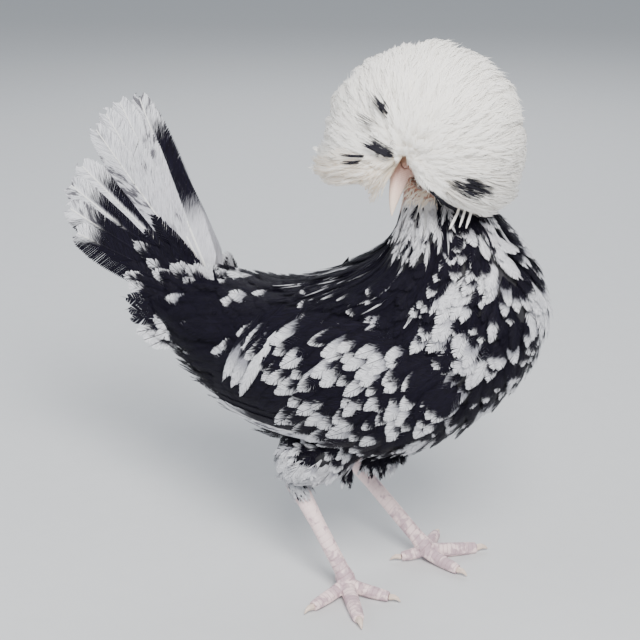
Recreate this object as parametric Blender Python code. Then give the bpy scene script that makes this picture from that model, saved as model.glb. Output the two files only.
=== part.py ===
"""White-crested black mottled Polish hen, standing still with her head turned over her right shoulder.

Metres, +Z up. The body faces +X and its left side is +Y. Points are given from the spot on
the floor midway between the feet, and the whole bird is moved at the end so that the middle
of its bounding box's base is the origin.
"""

import math
import random
from collections import namedtuple

import bmesh
import bpy
import numpy as np
from mathutils import Matrix, Vector

OBJECT_NAME = "polish_crested_hen"

# Driving dimensions
GAP = 0.0003
STANCE_HALF_WIDTH = 0.037
FOOT_ADVANCE = 0.016
HOCK_BACK = 0.060
HOCK_HEIGHT = 0.086
ANKLE_HEIGHT = 0.0125
HEAD_HEADING = -96.0
HEAD_PITCH = -30.0
EYE_RADIUS = 0.0055

SKULL_CENTRE = Vector((0.032, -0.029, 0.351))
CREST_CENTRE = Vector((0.0292, -0.0171, 0.3575))
CREST_RADII = Vector((0.069, 0.068, 0.0595))
CREST_CLEARANCE = 0.0004
WING_MIDDLE = Vector((-0.030, 0.0, 0.185))
WING_BULGE = Vector((0.150, 0.079, 0.085))
TAIL_ROOT = Vector((-0.136, 0.0, 0.203))

# Colours are linear red, green and blue
Finish = namedtuple("Finish", "colour roughness")
BLACK_PLUMAGE = Finish((0.012, 0.011, 0.015), 0.6)
WHITE_PLUMAGE = Finish((0.80, 0.78, 0.74), 0.75)
MOTTLED_PLUMAGE = Finish((0.10, 0.10, 0.11), 0.65)
FACE_SKIN = Finish((0.62, 0.22, 0.18), 0.6)
LEG_SKIN = Finish((0.62, 0.45, 0.42), 0.55)
BEAK_HORN = Finish((0.72, 0.56, 0.47), 0.4)
CLAW_HORN = Finish((0.62, 0.50, 0.42), 0.4)
EYE_GLOSS = Finish((0.10, 0.03, 0.012), 0.08)

SIDES = {"left": 1.0, "right": -1.0}

# A ring of the body's loft runs from a point on its back to one on its front or belly, in the
# plane y = 0, and has a half width and a shift to the left
Ring = namedtuple("Ring", "back_x back_z front_x front_z wide shift")
RUMP = (
    Ring(-0.2096, 0.2275, -0.2144, 0.2165, 0.006, 0.0),
    Ring(-0.1895, 0.2295, -0.2041, 0.1957, 0.018, 0.0),
    Ring(-0.1575, 0.2310, -0.1815, 0.1696, 0.033, 0.0),
    Ring(-0.1306, 0.2305, -0.1568, 0.1484, 0.044, 0.0),
    Ring(-0.1118, 0.2300, -0.1353, 0.1346, 0.051, 0.0),
)
TORSO = (
    RUMP[-1],
    Ring(-0.0927, 0.2305, -0.1090, 0.1150, 0.058, 0.0),
    Ring(-0.0580, 0.2400, -0.0650, 0.0990, 0.067, 0.0),
    Ring(-0.0310, 0.2550, -0.0160, 0.1010, 0.072, 0.0),
    Ring(-0.0140, 0.2660, 0.0340, 0.1160, 0.074, 0.0),
    Ring(-0.0060, 0.2725, 0.0760, 0.1490, 0.071, 0.0),
    Ring(-0.0020, 0.2780, 0.1075, 0.1890, 0.066, 0.0),
    Ring(0.0010, 0.2835, 0.1195, 0.2280, 0.060, 0.0),
)
NECK = (
    TORSO[-1],
    Ring(0.0030, 0.2895, 0.1100, 0.2620, 0.053, -0.002),
    Ring(0.0060, 0.2985, 0.0920, 0.2870, 0.044, -0.006),
    Ring(0.0100, 0.3100, 0.0740, 0.3080, 0.035, -0.011),
    Ring(0.0130, 0.3250, 0.0580, 0.3240, 0.026, -0.016),
    Ring(0.0180, 0.3400, 0.0450, 0.3370, 0.015, -0.019),
)
WIDEST_FROM_BACK = 0.47

# The skull from its back to the beak: distance along, half width, and depth above and below
SKULL = (
    (-0.0260, 0.0040, 0.0040, 0.0050),
    (-0.0225, 0.0100, 0.0105, 0.0120),
    (-0.0130, 0.0152, 0.0160, 0.0170),
    (0.0000, 0.0165, 0.0172, 0.0175),
    (0.0120, 0.0138, 0.0138, 0.0150),
    (0.0200, 0.0100, 0.0098, 0.0112),
    (0.0262, 0.0076, 0.0068, 0.0078),
)
# The beak from its base to its tip: distance along, half width, culmen, mouth line and keel
BEAK = (
    (0.0265, 0.0070, 0.0066, -0.0014, -0.0070),
    (0.0330, 0.0060, 0.0046, -0.0040, -0.0094),
    (0.0395, 0.0046, 0.0006, -0.0078, -0.0122),
    (0.0455, 0.0030, -0.0058, -0.0122, -0.0150),
    (0.0495, 0.0016, -0.0124, -0.0162, -0.0172),
    (0.0515, 0.0005, -0.0178, -0.0190, -0.0196),
)
LOWER_BEAK_STATIONS = 5
LOWER_BEAK_WIDTH = 0.82
LOWER_BEAK_LEAST_DEPTH = 0.0006

# The face's soft forms and openings: their place in the head, to one side, and their radii
EYE_PLACE = (0.0118, 0.0085, 0.0030)
FACE_FORMS = {
    "lids": (EYE_PLACE, (0.0048, 0.0078, 0.0068)),
    "lid opening": ((0.0163, 0.0085, 0.0030), (0.0050, 0.0052, 0.0042)),
    "nostril bulb": ((0.0042, 0.0230, 0.0058), (0.0038, 0.0068, 0.0040)),
    "nostril": ((0.0070, 0.0255, 0.0052), (0.0014, 0.0030, 0.0011)),
    "ear lobe": ((0.0152, -0.0060, -0.0070), (0.0022, 0.0050, 0.0060)),
    "wattle": ((0.0058, 0.0150, -0.0150), (0.0030, 0.0045, 0.0075)),
}
RAISED_FORMS = ("lids", "nostril bulb", "ear lobe", "wattle")

# The wing's lens from shoulder to tip: place along the body, lower and upper edge, thickness
WING_LENS = (
    (0.045, 0.165, 0.195, 0.004),
    (0.022, 0.150, 0.210, 0.007),
    (-0.010, 0.138, 0.216, 0.008),
    (-0.049, 0.131, 0.215, 0.007),
    (-0.081, 0.133, 0.205, 0.005),
    (-0.101, 0.140, 0.180, 0.003),
    (-0.112, 0.147, 0.156, 0.0015),
)

# What a feather's vane is like: where its stations lie along it, half its width at each, and
# its thickness along the shaft and at its edges
Vane = namedtuple("Vane", "steps half_widths thickness edge")

# The crest's core and its feathers' roots, as shares of the crest's radii
CREST_CORE = 0.47
CREST_ROOT = 0.38
# The crown that the crest's feathers radiate from, and the face that they hang clear of, as
# directions from the crest's middle; the face runs from its brow down to its chin
CROWN = Vector((0.10, -0.45, 0.89)).normalized()
BROW = Vector((0.08, -0.93, -0.34)).normalized()
CHIN = Vector((0.00, -0.62, -0.78)).normalized()
FACE_HALF_ANGLE = 15.0
FACE_OPENING = ((0.0, 0.034, -0.010), (0.0165, 0.050, 0.021))
# The lobe on the head's right is lifted: none of its feathers points lower than this
RAISED_LOBE_LOW = -0.52
# How far the crest hangs fuller low on its left and lies flatter high on its right
CREST_FULLNESS = 0.16
CREST_FLATNESS = 0.09
# Rows of crest feathers: the angle of their tips from straight up, and how many stand round
CREST_ROWS = ((14, 3), (40, 9), (65, 13), (89, 15), (111, 14), (132, 10))
CREST_VANE = Vane((0.0, 0.42, 0.82, 1.0), (0.0035, 0.0132, 0.0135, 0.0024), 0.0013, 0.0)
CREST_CAMBER = 0.22
# Where a crest feather's root lies between the crown and its tip, and how sharply it arches
CREST_ROOT_TURN = 0.42
CREST_ARCH = 2.3
CREST_REACH = (0.965, 1.005)
CREST_ROLL = 9.0

# The vanes of the wing's feathers
QUILL_EDGE = 0.0005
FEATHER_CAMBER = 0.10
COVERT_STEPS = (0.0, 0.45, 0.82, 1.0)
FLIGHT_VANE = Vane((0.0, 0.45, 0.88, 1.0), (0.006, 0.0128, 0.0132, 0.0022), 0.0010, QUILL_EDGE)
GREATER_COVERT_VANE = Vane(COVERT_STEPS, (0.006, 0.0136, 0.0134, 0.0022), 0.0014, 0.0)
LESSER_COVERT_VANE = Vane(COVERT_STEPS, (0.006, 0.0134, 0.0132, 0.0022), 0.0014, 0.0)

# A tier of wing feathers: its lowest and highest feathers' roots and tips, as places along the
# body and above the floor, and how far it sags, lifts and rolls
Tier = namedtuple("Tier", "count low_root high_root low_tip high_tip sag root_lift tip_lift roll vane")
WING_TIERS = (
    Tier(7, (0.038, 0.158), (0.006, 0.206), (-0.113, 0.150), (-0.098, 0.208),
         0.0125, -0.0005, 0.0024, 8.0, FLIGHT_VANE),
    Tier(6, (0.048, 0.166), (0.022, 0.212), (-0.040, 0.141), (-0.062, 0.213),
         0.0060, 0.0005, 0.0050, 9.0, GREATER_COVERT_VANE),
    Tier(5, (0.054, 0.174), (0.034, 0.212), (0.000, 0.150), (-0.024, 0.213),
         0.0040, 0.0010, 0.0066, 9.0, LESSER_COVERT_VANE),
)

# The tail's main feathers in each half, from the highest: rise behind the rump, and length. The
# upper three and the lower four spread apart, and the left half lies lower behind the right
TAIL_FEATHERS = (
    (66.5, 0.160),
    (60.0, 0.162),
    (53.0, 0.153),
    (40.0, 0.140),
    (32.5, 0.136),
    (25.0, 0.121),
    (17.0, 0.100),
)
TAIL_START = 0.012
TAIL_LEAN = {"left": -9.0, "right": 0.0}
TAIL_ROLL = 9.0
TAIL_DROOP = 0.004
# How far out from the middle the top feather grows, and how much nearer each next one does
TAIL_LIFT = 0.0105
TAIL_LIFT_STEP = 0.0011
# The top feather's turn away from the middle, and how much more the lowest has
TAIL_SPLAY = (2.5, 13.0)
TAIL_COVERT_SPLAY = (5.0, 15.0)
TAIL_VANE = Vane((0.0, 0.45, 0.86, 1.0), (0.007, 0.0150, 0.0155, 0.0030), 0.0011, QUILL_EDGE)
TAIL_COVERT_VANE = Vane(COVERT_STEPS, (0.006, 0.0130, 0.0125, 0.0020), 0.0011, 0.0)
# Tiers of tail coverts: how many, where they start, length, spacing out, and lowest and top rise
TAIL_COVERTS = ((4, 0.004, 0.082, 0.0140, 16, 62), (3, -0.008, 0.062, 0.0165, 12, 52))

# Radii up the feathered thigh, and down the bare shank and the stump of the foot
THIGH_RADII = (0.0088, 0.0125, 0.0245, 0.0310, 0.0310)
SHANK_RADII = (0.0080, 0.0084, 0.0068, 0.0058, 0.0060, 0.0066)
STUMP_RADII = (0.0066, 0.0072, 0.0060)
STUMP_ABOVE_ANKLE = 0.001
STUMP_BELOW_ANKLE = 0.004
# Where the shank's radii lie: from the hock down, and then up from the ankle
SHANK_FROM_HOCK = (0.0, 0.006, 0.016, 0.040)
SHANK_FROM_ANKLE = (0.010, 0.004)
# The thigh's upper path on the left side
THIGH_PATH = ((-0.052, 0.038, 0.103), (-0.042, 0.035, 0.117), (-0.028, 0.030, 0.133))
WING_OVER_THIGH = 0.008

# Toes: name, angle from the middle toe towards the body's midline, length and thickness
Toe = namedtuple("Toe", "turn length radius claw")
TOES = {
    "inner": Toe(58.0, 0.034, 0.0047, 0.009),
    "middle": Toe(0.0, 0.044, 0.0052, 0.010),
    "outer": Toe(-55.0, 0.036, 0.0047, 0.009),
    "hind": Toe(-174.0, 0.018, 0.0042, 0.009),
}
FOOT_HEADING = {"left": 42.0, "right": -52.0}
# Stations along a toe: the share of its length, the middle's height and the share of its radius
TOE_STATIONS = (
    (0.00, 0.0085, 1.15),
    (0.30, 0.0062, 1.12),
    (0.55, 0.0052, 1.08),
    (0.80, 0.0045, 1.00),
    (1.00, 0.0040, 0.86),
)
# A claw's curve: how far along it, and its rise above its root; and its taper from the toe's radius
CLAW_CURVE = ((0.35, 0.0006), (0.65, -0.0004), (0.9, -0.0024))
CLAW_ROOT = 0.001
CLAW_TAPER = (0.56, 0.55, 0.46, 0.30, 0.08)

# How many points stand round each form
BODY_SIDES = 24
NECK_SIDES = 20
RUMP_SIDES = 16
SKULL_SIDES = 16
THIGH_SIDES = 14
SHANK_SIDES = 12
TOE_SIDES = 8
CLAW_SIDES = 6
WING_SIDES = 12
BEAK_STEPS = 8
EYE_SIDES = (12, 8)
FACE_FORM_SIDES = (8, 6)


def clear_scene():
    for existing in list(bpy.data.objects):
        bpy.data.objects.remove(existing, do_unlink=True)


def new_collection(name):
    collection = bpy.data.collections.new(name)
    bpy.context.scene.collection.children.link(collection)
    return collection


def finish_part(target, finish):
    """Gives a part its own material and shades it smooth across its softer edges."""
    material = bpy.data.materials.new(target.name + " material")
    material.use_nodes = True
    shader = material.node_tree.nodes["Principled BSDF"]
    shader.inputs["Base Color"].default_value = (*finish.colour, 1.0)
    shader.inputs["Roughness"].default_value = finish.roughness
    shader.inputs["Metallic"].default_value = 0.0
    target.data.materials.clear()
    target.data.materials.append(material)
    target.data.shade_smooth()
    target.data.set_sharp_from_angle(angle=math.radians(50))


def mesh_object(name, shape, collection):
    """An object from a bmesh, with its faces turned outwards."""
    bmesh.ops.recalc_face_normals(shape, faces=shape.faces)
    mesh = bpy.data.meshes.new(name)
    shape.to_mesh(mesh)
    shape.free()
    made = bpy.data.objects.new(name, mesh)
    collection.objects.link(made)
    return made


def loft(name, sections, collection):
    """A closed body through sections of equal point counts, capped flat at both ends."""
    shape = bmesh.new()
    rows = [[shape.verts.new(point) for point in section] for section in sections]
    for low, high in zip(rows, rows[1:]):
        for i in range(len(low)):
            j = (i + 1) % len(low)
            shape.faces.new((low[i], low[j], high[j]))
            shape.faces.new((low[i], high[j], high[i]))
    caps = [shape.faces.new(rows[0]), shape.faces.new(rows[-1])]
    bmesh.ops.triangulate(shape, faces=caps)
    return mesh_object(name, shape, collection)


def ellipsoid(name, place, radii, collection, segments=24, rings=14):
    shape = bmesh.new()
    bmesh.ops.create_uvsphere(shape, u_segments=segments, v_segments=rings, radius=1.0)
    bmesh.ops.transform(shape, matrix=place @ Matrix.Diagonal((*radii, 1.0)), verts=shape.verts)
    return mesh_object(name, shape, collection)


def box(name, place, size, collection):
    shape = bmesh.new()
    bmesh.ops.create_cube(shape, size=1.0)
    bmesh.ops.transform(shape, matrix=place @ Matrix.Diagonal((*size, 1.0)), verts=shape.verts)
    return mesh_object(name, shape, collection)


def bake_modifiers(target):
    """Replaces an object's mesh by its evaluated one and drops its modifiers."""
    bpy.context.view_layer.update()
    graph = bpy.context.evaluated_depsgraph_get()
    result = bpy.data.meshes.new_from_object(target.evaluated_get(graph))
    target.modifiers.clear()
    target.data = result


def enclosed_volume(faces):
    total = 0.0
    for face in faces:
        first, second, third = (corner.co for corner in face.verts)
        total += first.dot(second.cross(third)) / 6
    return total


def keep_largest(target):
    """Keeps only the closed surface of a mesh that encloses the most."""
    shape = bmesh.new()
    shape.from_mesh(target.data)
    bmesh.ops.triangulate(shape, faces=shape.faces)
    waiting = set(shape.faces)
    groups = []
    while waiting:
        group = [waiting.pop()]
        for face in group:
            near = {other for edge in face.edges for other in edge.link_faces} & waiting
            waiting -= near
            group.extend(near)
        groups.append(group)
    largest = max(groups, key=enclosed_volume)
    spare = [face for group in groups if group is not largest for face in group]
    bmesh.ops.delete(shape, geom=spare, context="FACES")
    shape.to_mesh(target.data)
    shape.free()


def union(target, pieces, solver="MANIFOLD"):
    """Joins closed pieces into the target and removes them."""
    joined = new_collection("joined pieces")
    for piece in pieces:
        for holder in list(piece.users_collection):
            holder.objects.unlink(piece)
        joined.objects.link(piece)
    join = target.modifiers.new("Join", "BOOLEAN")
    join.operation = "UNION"
    join.operand_type = "COLLECTION"
    join.collection = joined
    join.solver = solver
    bake_modifiers(target)
    for piece in pieces:
        bpy.data.objects.remove(piece, do_unlink=True)
    bpy.data.collections.remove(joined)
    keep_largest(target)


def cut(target, cutter, solver="MANIFOLD"):
    """Takes the cutter's shape out of the target."""
    carve = target.modifiers.new("Cut", "BOOLEAN")
    carve.operation = "DIFFERENCE"
    carve.object = cutter
    carve.solver = solver
    bake_modifiers(target)
    keep_largest(target)


def smooth(rows, steps):
    """Catmull-Rom rows through the given ones, with `steps` intervals between each pair."""
    rows = np.array(rows, float)
    padded = np.vstack([2 * rows[0] - rows[1], rows, 2 * rows[-1] - rows[-2]])
    found = []
    for before, here, after, beyond in zip(padded, padded[1:], padded[2:], padded[3:]):
        for t in np.arange(steps) / steps:
            square = (2 * before - 5 * here + 4 * after - beyond) * t**2
            cube = (3 * here - before - 3 * after + beyond) * t**3
            found.append(0.5 * (2 * here + (after - before) * t + square + cube))
    return np.vstack([found, rows[-1]])


def body_section(ring, sides, grow):
    """The points round one ring: an oval that is deeper to its front than to its back."""
    back = Vector((ring.back_x, ring.shift, ring.back_z))
    front = Vector((ring.front_x, ring.shift, ring.front_z))
    centre = back.lerp(front, WIDEST_FROM_BACK)
    points = []
    for i in range(sides):
        angle = math.tau * (i + 0.5) / sides
        end = back if math.cos(angle) > 0 else front
        reach = (end - centre) * (1 + grow / (end - centre).length)
        across = Vector((0.0, math.sin(angle) * (ring.wide + grow), 0.0))
        points.append(centre + across + reach * abs(math.cos(angle)))
    return points


def body_loft(name, rings, sides, steps, collection, grow=0.0, trim=(0.0, 0.0)):
    """A loft through rings, with each end drawn in square to itself by its trim."""
    sections = [body_section(Ring(*row), sides, grow) for row in smooth(rings, steps)]
    for section, inner, inset in zip((sections[0], sections[-1]), (sections[1], sections[-2]), trim):
        middle = sum(section, Vector()) / sides
        square = (section[0] - middle).cross(section[sides // 4] - middle).normalized()
        if square.dot(sum(inner, Vector()) / sides - middle) < 0:
            square.negate()
        section[:] = [point + square * inset for point in section]
    return loft(name, sections, collection)


def tube(name, path, radii, sides, collection):
    """A tapering tube whose round sections are square to its path, with no twist between them."""
    sections = []
    ahead = path[1] - path[0]
    across = ahead.orthogonal().normalized()
    for i, (point, radius) in enumerate(zip(path, radii)):
        onward = path[min(i + 1, len(path) - 1)] - path[max(i - 1, 0)]
        across.rotate(ahead.rotation_difference(onward))
        ahead = onward
        up = ahead.cross(across).normalized()
        angles = [math.tau * (k + 0.5) / sides for k in range(sides)]
        sections.append([point + (across * math.cos(a) + up * math.sin(a)) * radius for a in angles])
    return loft(name, sections, collection)


def feather_vane(name, path, ups, form, camber, collection):
    """A closed feather vane, thicker along its shaft than at its edges.

    Both faces are split into triangles alike, so that they can't cross where the vane curves.
    """
    shape = bmesh.new()
    rows = []
    for i, (point, up, half_width) in enumerate(zip(path, ups, form.half_widths)):
        ahead = (path[min(i + 1, len(path) - 1)] - path[max(i - 1, 0)]).normalized()
        across = ahead.cross(up).normalized()
        up = across.cross(ahead)
        row = {}
        for column, side in (("left", -1), ("middle", 0), ("right", 1)):
            place = point + across * side * half_width - up * abs(side) * camber * half_width
            depth = form.edge if side else form.thickness
            row[column, "top"] = shape.verts.new(place + up * depth / 2)
            row[column, "under"] = row[column, "top"]
            if depth > 0:
                row[column, "under"] = shape.verts.new(place - up * depth / 2)
        rows.append(row)
    for low, high in zip(rows, rows[1:]):
        for face in ("top", "under"):
            for a, b in (("left", "middle"), ("middle", "right")):
                shape.faces.new((low[a, face], low[b, face], high[b, face]))
                shape.faces.new((low[a, face], high[b, face], high[a, face]))
        for a in ("left", "right") if form.edge > 0 else ():
            shape.faces.new((low[a, "top"], low[a, "under"], high[a, "under"]))
            shape.faces.new((low[a, "top"], high[a, "under"], high[a, "top"]))
    for row in (rows[0], rows[-1]):
        for a, b in (("left", "middle"), ("middle", "right")):
            corners = (row[a, "top"], row[b, "top"], row[b, "under"], row[a, "under"])
            corners = list(dict.fromkeys(corners))
            for k in range(1, len(corners) - 1):
                shape.faces.new((corners[0], corners[k], corners[k + 1]))
    return mesh_object(name, shape, collection)


def head_frame():
    """The head's axes at the skull's middle: X to its right, Y along to the beak, Z up."""
    heading = Matrix.Rotation(math.radians(HEAD_HEADING - 90), 4, "Z")
    pitch = Matrix.Rotation(math.radians(HEAD_PITCH), 4, "X")
    return Matrix.Translation(SKULL_CENTRE) @ heading @ pitch


def in_head(right, along, up):
    return head_frame() @ Vector((right, along, up))


def skull_loft(name, collection, grow=0.0):
    """The skull alone, or grown on every side as a cutter."""
    sections = []
    stations = smooth(SKULL, 1)
    for along, wide, top, bottom in stations:
        if grow and along in (stations[0][0], stations[-1][0]):
            along += math.copysign(grow, along)
        section = []
        for i in range(SKULL_SIDES):
            angle = math.tau * (i + 0.5) / SKULL_SIDES
            depth = top if math.cos(angle) > 0 else bottom
            right = math.sin(angle) * (wide + grow)
            section.append(in_head(right, along, math.cos(angle) * (depth + grow)))
        sections.append(section)
    return loft(name, sections, collection)


def in_eye(side):
    return head_frame() @ Matrix.Translation((side * EYE_PLACE[0], EYE_PLACE[1], EYE_PLACE[2]))


def face_form(name, side, collection, grow=0.0):
    """One of the head's bulbs, lobes or rims, or that form grown as a cutter."""
    place, radii = FACE_FORMS[name]
    across = Matrix.Translation((side * place[0], place[1], place[2]))
    grown = [radius + grow for radius in radii]
    return ellipsoid(name, head_frame() @ across, grown, collection, *FACE_FORM_SIDES)


def eyeball(name, side, collection, grow=0.0):
    """An eye, or that ball grown as a cutter."""
    return ellipsoid(name, in_eye(side), [EYE_RADIUS + grow] * 3, collection, *EYE_SIDES)


def make_head(parts, guides):
    """Skull with lids, nostril bulbs, ear lobes and small wattles; the eyes' sockets are cut out."""
    head = skull_loft("head", parts)
    union(head, [face_form(name, side, guides) for side in SIDES.values() for name in RAISED_FORMS])
    for side in SIDES.values():
        cut(head, face_form("lid opening", side, guides))
        cut(head, face_form("nostril", side, guides))
        cut(head, eyeball("socket", side, guides, GAP))
    return head


def clear_of_head(target, guides, grow):
    """Cuts the head's own shape, grown on every side, out of what surrounds it."""
    cut(target, skull_loft("grown skull", guides, grow))
    for side in SIDES.values():
        for name in RAISED_FORMS:
            cut(target, face_form(name, side, guides, grow))
        cut(target, eyeball("grown eye", side, guides, grow))


def beak_section(along, wide, high, low, arch_up):
    """Half an oval on the mouth line, arched up for the upper beak and down for the lower."""
    base, crown = (low, high) if arch_up else (high, low)
    points = []
    for i in range(BEAK_STEPS + 1):
        angle = math.pi * i / BEAK_STEPS
        lift = base + (crown - base) * math.sin(angle)
        points.append(in_head(math.cos(angle) * wide, along, lift))
    return points


def make_beak(parts, guides):
    stations = smooth(BEAK, 2)
    upper = [beak_section(along, wide, top, mouth, True) for along, wide, top, mouth, keel in stations]
    lower_stations = smooth(BEAK[:LOWER_BEAK_STATIONS], 2)
    lower = []
    for along, wide, top, mouth, keel in lower_stations:
        rim = mouth - GAP
        keel = min(keel, rim - LOWER_BEAK_LEAST_DEPTH)
        lower.append(beak_section(along, wide * LOWER_BEAK_WIDTH, rim, keel, False))
    bill = [loft("beak_upper", upper, parts), loft("beak_lower", lower, parts)]
    for side in SIDES.values():
        cut(bill[0], face_form("nostril bulb", side, guides, GAP))
    return bill


def hock(side):
    return Vector((-HOCK_BACK, side * STANCE_HALF_WIDTH, HOCK_HEIGHT))


def ankle(side):
    return Vector((side * FOOT_ADVANCE, side * STANCE_HALF_WIDTH, ANKLE_HEIGHT))


def make_thigh(name, side, parts, grown_torso):
    """The feathered thigh, which tucks in under the torso and the folded wing."""
    up = (hock(side) - ankle(side)).normalized()
    path = [hock(side) + up * GAP, hock(side) + up * SHANK_FROM_HOCK[1]]
    path += [Vector((x, side * y, z)) for x, y, z in THIGH_PATH]
    thigh = tube("thigh_" + name, path, THIGH_RADII, THIGH_SIDES, parts)
    cut(thigh, grown_torso)
    return thigh


def make_shank(name, side, parts, guides, thigh):
    """The bare shank, whose head is let into the thigh."""
    down = ankle(side) - hock(side)
    steps = SHANK_FROM_HOCK + tuple(down.length - step for step in SHANK_FROM_ANKLE)
    path = [hock(side) + down.normalized() * step for step in steps]
    shank = tube("shank_" + name, path, SHANK_RADII, SHANK_SIDES, parts)
    grown_path = [path[0] - down.normalized() * GAP] + path[1:]
    grown_radii = [radius + GAP for radius in SHANK_RADII]
    cut(thigh, tube("grown shank", grown_path, grown_radii, SHANK_SIDES, guides))
    cut(thigh, wing_lens("grown wing", side, guides, WING_OVER_THIGH))
    return shank


def make_toe(toe, heading, ground, guides):
    """A toe's tube along the floor, with the direction that it points and its path."""
    out = Vector((math.cos(heading), math.sin(heading), 0.0))
    path = [ground + out * toe.length * t + Vector((0, 0, height)) for t, height, share in TOE_STATIONS]
    radii = [toe.radius * share for t, height, share in TOE_STATIONS]
    return tube("toe", path, radii, TOE_SIDES, guides), out, path


def make_claw(name, toe, out, toe_path, parts):
    """The claw at the end of a toe."""
    ahead = (toe_path[-1] - toe_path[-2]).normalized()
    path = [toe_path[-1] + ahead * GAP, toe_path[-1] + ahead * (GAP + CLAW_ROOT)]
    path += [path[1] + out * toe.claw * t + Vector((0, 0, z)) for t, z in CLAW_CURVE]
    return tube(name, path, [toe.radius * share for share in CLAW_TAPER], CLAW_SIDES, parts)


def make_foot(name, side, parts, guides):
    """The foot with its four toes, flat where it stands on the floor, and its claws."""
    down = (ankle(side) - hock(side)).normalized()
    top = ankle(side) - down * (SHANK_FROM_ANKLE[1] - GAP)
    stump = [top, ankle(side) - down * STUMP_ABOVE_ANKLE, ankle(side) + down * STUMP_BELOW_ANKLE]
    foot = tube("foot_" + name, stump, STUMP_RADII, SHANK_SIDES, parts)
    ground = Vector((ankle(side).x, ankle(side).y, 0.0))
    claws = []
    toes = []
    for toe_name, toe in TOES.items():
        heading = math.radians(FOOT_HEADING[name] - side * toe.turn)
        made, out, path = make_toe(toe, heading, ground, guides)
        toes.append(made)
        claws.append(make_claw(f"claw_{name}_{toe_name}", toe, out, path, parts))
    union(foot, toes)
    cut(foot, box("floor", Matrix.Translation((0, 0, -0.05)), (1, 1, 0.1), guides))
    return [foot, *claws]


def turned(start, end, share):
    """The direction that lies `share` of the way round from one direction to another."""
    return Matrix.Rotation(start.angle(end) * share, 3, start.cross(end)) @ start


def faces_out(direction):
    """Whether a direction from the crest's middle passes through the face's opening."""
    nearest = min(direction.angle(turned(BROW, CHIN, share / 4)) for share in range(5))
    return math.degrees(nearest) < FACE_HALF_ANGLE


def crest_point(direction, reach):
    return CREST_CENTRE + Vector([d * r * reach for d, r in zip(direction, CREST_RADII)])


def crest_feather(tip, reach, roll, collection):
    """A feather that rises from the crest's core and arches down to lie along its surface."""
    root = turned(CROWN, tip, CREST_ROOT_TURN)
    path = []
    ups = []
    for t in CREST_VANE.steps:
        direction = turned(root, tip, t)
        path.append(crest_point(direction, CREST_ROOT + (reach - CREST_ROOT) * (1 - (1 - t) ** CREST_ARCH)))
        ups.append(Matrix.Rotation(roll, 3, root.cross(tip).cross(direction)) @ direction)
    return feather_vane("crest feather", path, ups, CREST_VANE, CREST_CAMBER, collection)


def crest_tips():
    """Each feather's tip direction, reach and roll, for the tips that don't hang over the face."""
    draw = random.Random(11)
    for row, (polar, count) in enumerate(CREST_ROWS):
        for i in range(count):
            around = math.tau * (i + 0.5 * (row % 2) + draw.uniform(-0.12, 0.12)) / count
            fall = math.radians(polar + draw.uniform(-3.0, 3.0))
            flat = math.sin(fall)
            tip = Vector((flat * math.cos(around), flat * math.sin(around), math.cos(fall)))
            reach = draw.uniform(*CREST_REACH)
            reach += CREST_FULLNESS * max(0.0, tip.x) * max(0.0, -tip.z)
            reach -= CREST_FLATNESS * max(0.0, -tip.x) * max(0.0, tip.z)
            roll = math.radians(CREST_ROLL + draw.uniform(-4.0, 4.0))
            over_face = any(faces_out(turned(CROWN, tip, share)) for share in (0.8, 1.0))
            below_lobe = tip.x < 0 and tip.z < RAISED_LOBE_LOW * min(1.0, -tip.x / 0.3)
            if not over_face and not (below_lobe and tip.y < 0.3):
                yield tip, reach, roll


def make_crest(parts, guides):
    """The crest: a low core over the skull, with rows of feathers that part above the beak."""
    crest = ellipsoid("crest", Matrix.Translation(CREST_CENTRE), CREST_RADII * CREST_CORE, parts, 16, 8)
    union(crest, [crest_feather(tip, reach, roll, guides) for tip, reach, roll in crest_tips()])
    opening, radii = FACE_OPENING
    place = head_frame() @ Matrix.Translation(opening)
    cut(crest, ellipsoid("face opening", place, radii, guides, 16, 10))
    return crest


def wing_lens(name, side, collection, grow=0.0):
    """The folded wing's body: a lens on the wing surface from the shoulder to the tip."""
    sections = []
    for x, low, high, thick in WING_LENS:
        section = []
        for k in range(WING_SIDES):
            angle = math.tau * k / WING_SIDES
            z = (low + high) / 2 + ((high - low) / 2 + grow) * math.sin(angle)
            section.append(wing_point(side, x, z, (thick + grow) * math.cos(angle)))
        sections.append(section)
    return loft(name, sections, collection)


def wing_shares(x, z):
    """A place on the wing surface as shares of its radii: along, outwards and up."""
    along = (x - WING_MIDDLE.x) / WING_BULGE.x
    rise = (z - WING_MIDDLE.z) / WING_BULGE.z
    return Vector((along, math.sqrt(max(0.02, 1 - along**2 - rise**2)), rise))


def wing_out(x, z):
    """The outward direction of the wing surface, on the left side."""
    return Vector([share / radius for share, radius in zip(wing_shares(x, z), WING_BULGE)]).normalized()


def wing_point(side, x, z, lift):
    """A point of the wing surface, an ellipsoid round the body, raised outwards by `lift`."""
    point = Vector((x, WING_BULGE.y * wing_shares(x, z).y, z)) + wing_out(x, z) * lift
    return Vector((point.x, side * point.y, point.z))


def wing_feather(side, tier, share, collection):
    """One feather of a tier, at a share of the way from the tier's lowest to its highest."""
    root = Vector(tier.low_root).lerp(Vector(tier.high_root), share)
    tip = Vector(tier.low_tip).lerp(Vector(tier.high_tip), share)
    ahead = Vector((tip.x - root.x, 0.0, tip.y - root.y)).normalized()
    path = []
    ups = []
    for t in tier.vane.steps:
        spot = root.lerp(tip, t)
        spot.y -= tier.sag * (1 - share) * 4 * t * (1 - t)
        lift = tier.root_lift + (tier.tip_lift - tier.root_lift) * t
        path.append(wing_point(side, spot.x, spot.y, lift))
        out = Matrix.Rotation(math.radians(tier.roll), 3, ahead) @ wing_out(spot.x, spot.y)
        ups.append(Vector((out.x, side * out.y, out.z)))
    return feather_vane("wing feather", path, ups, tier.vane, FEATHER_CAMBER, collection)


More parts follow.
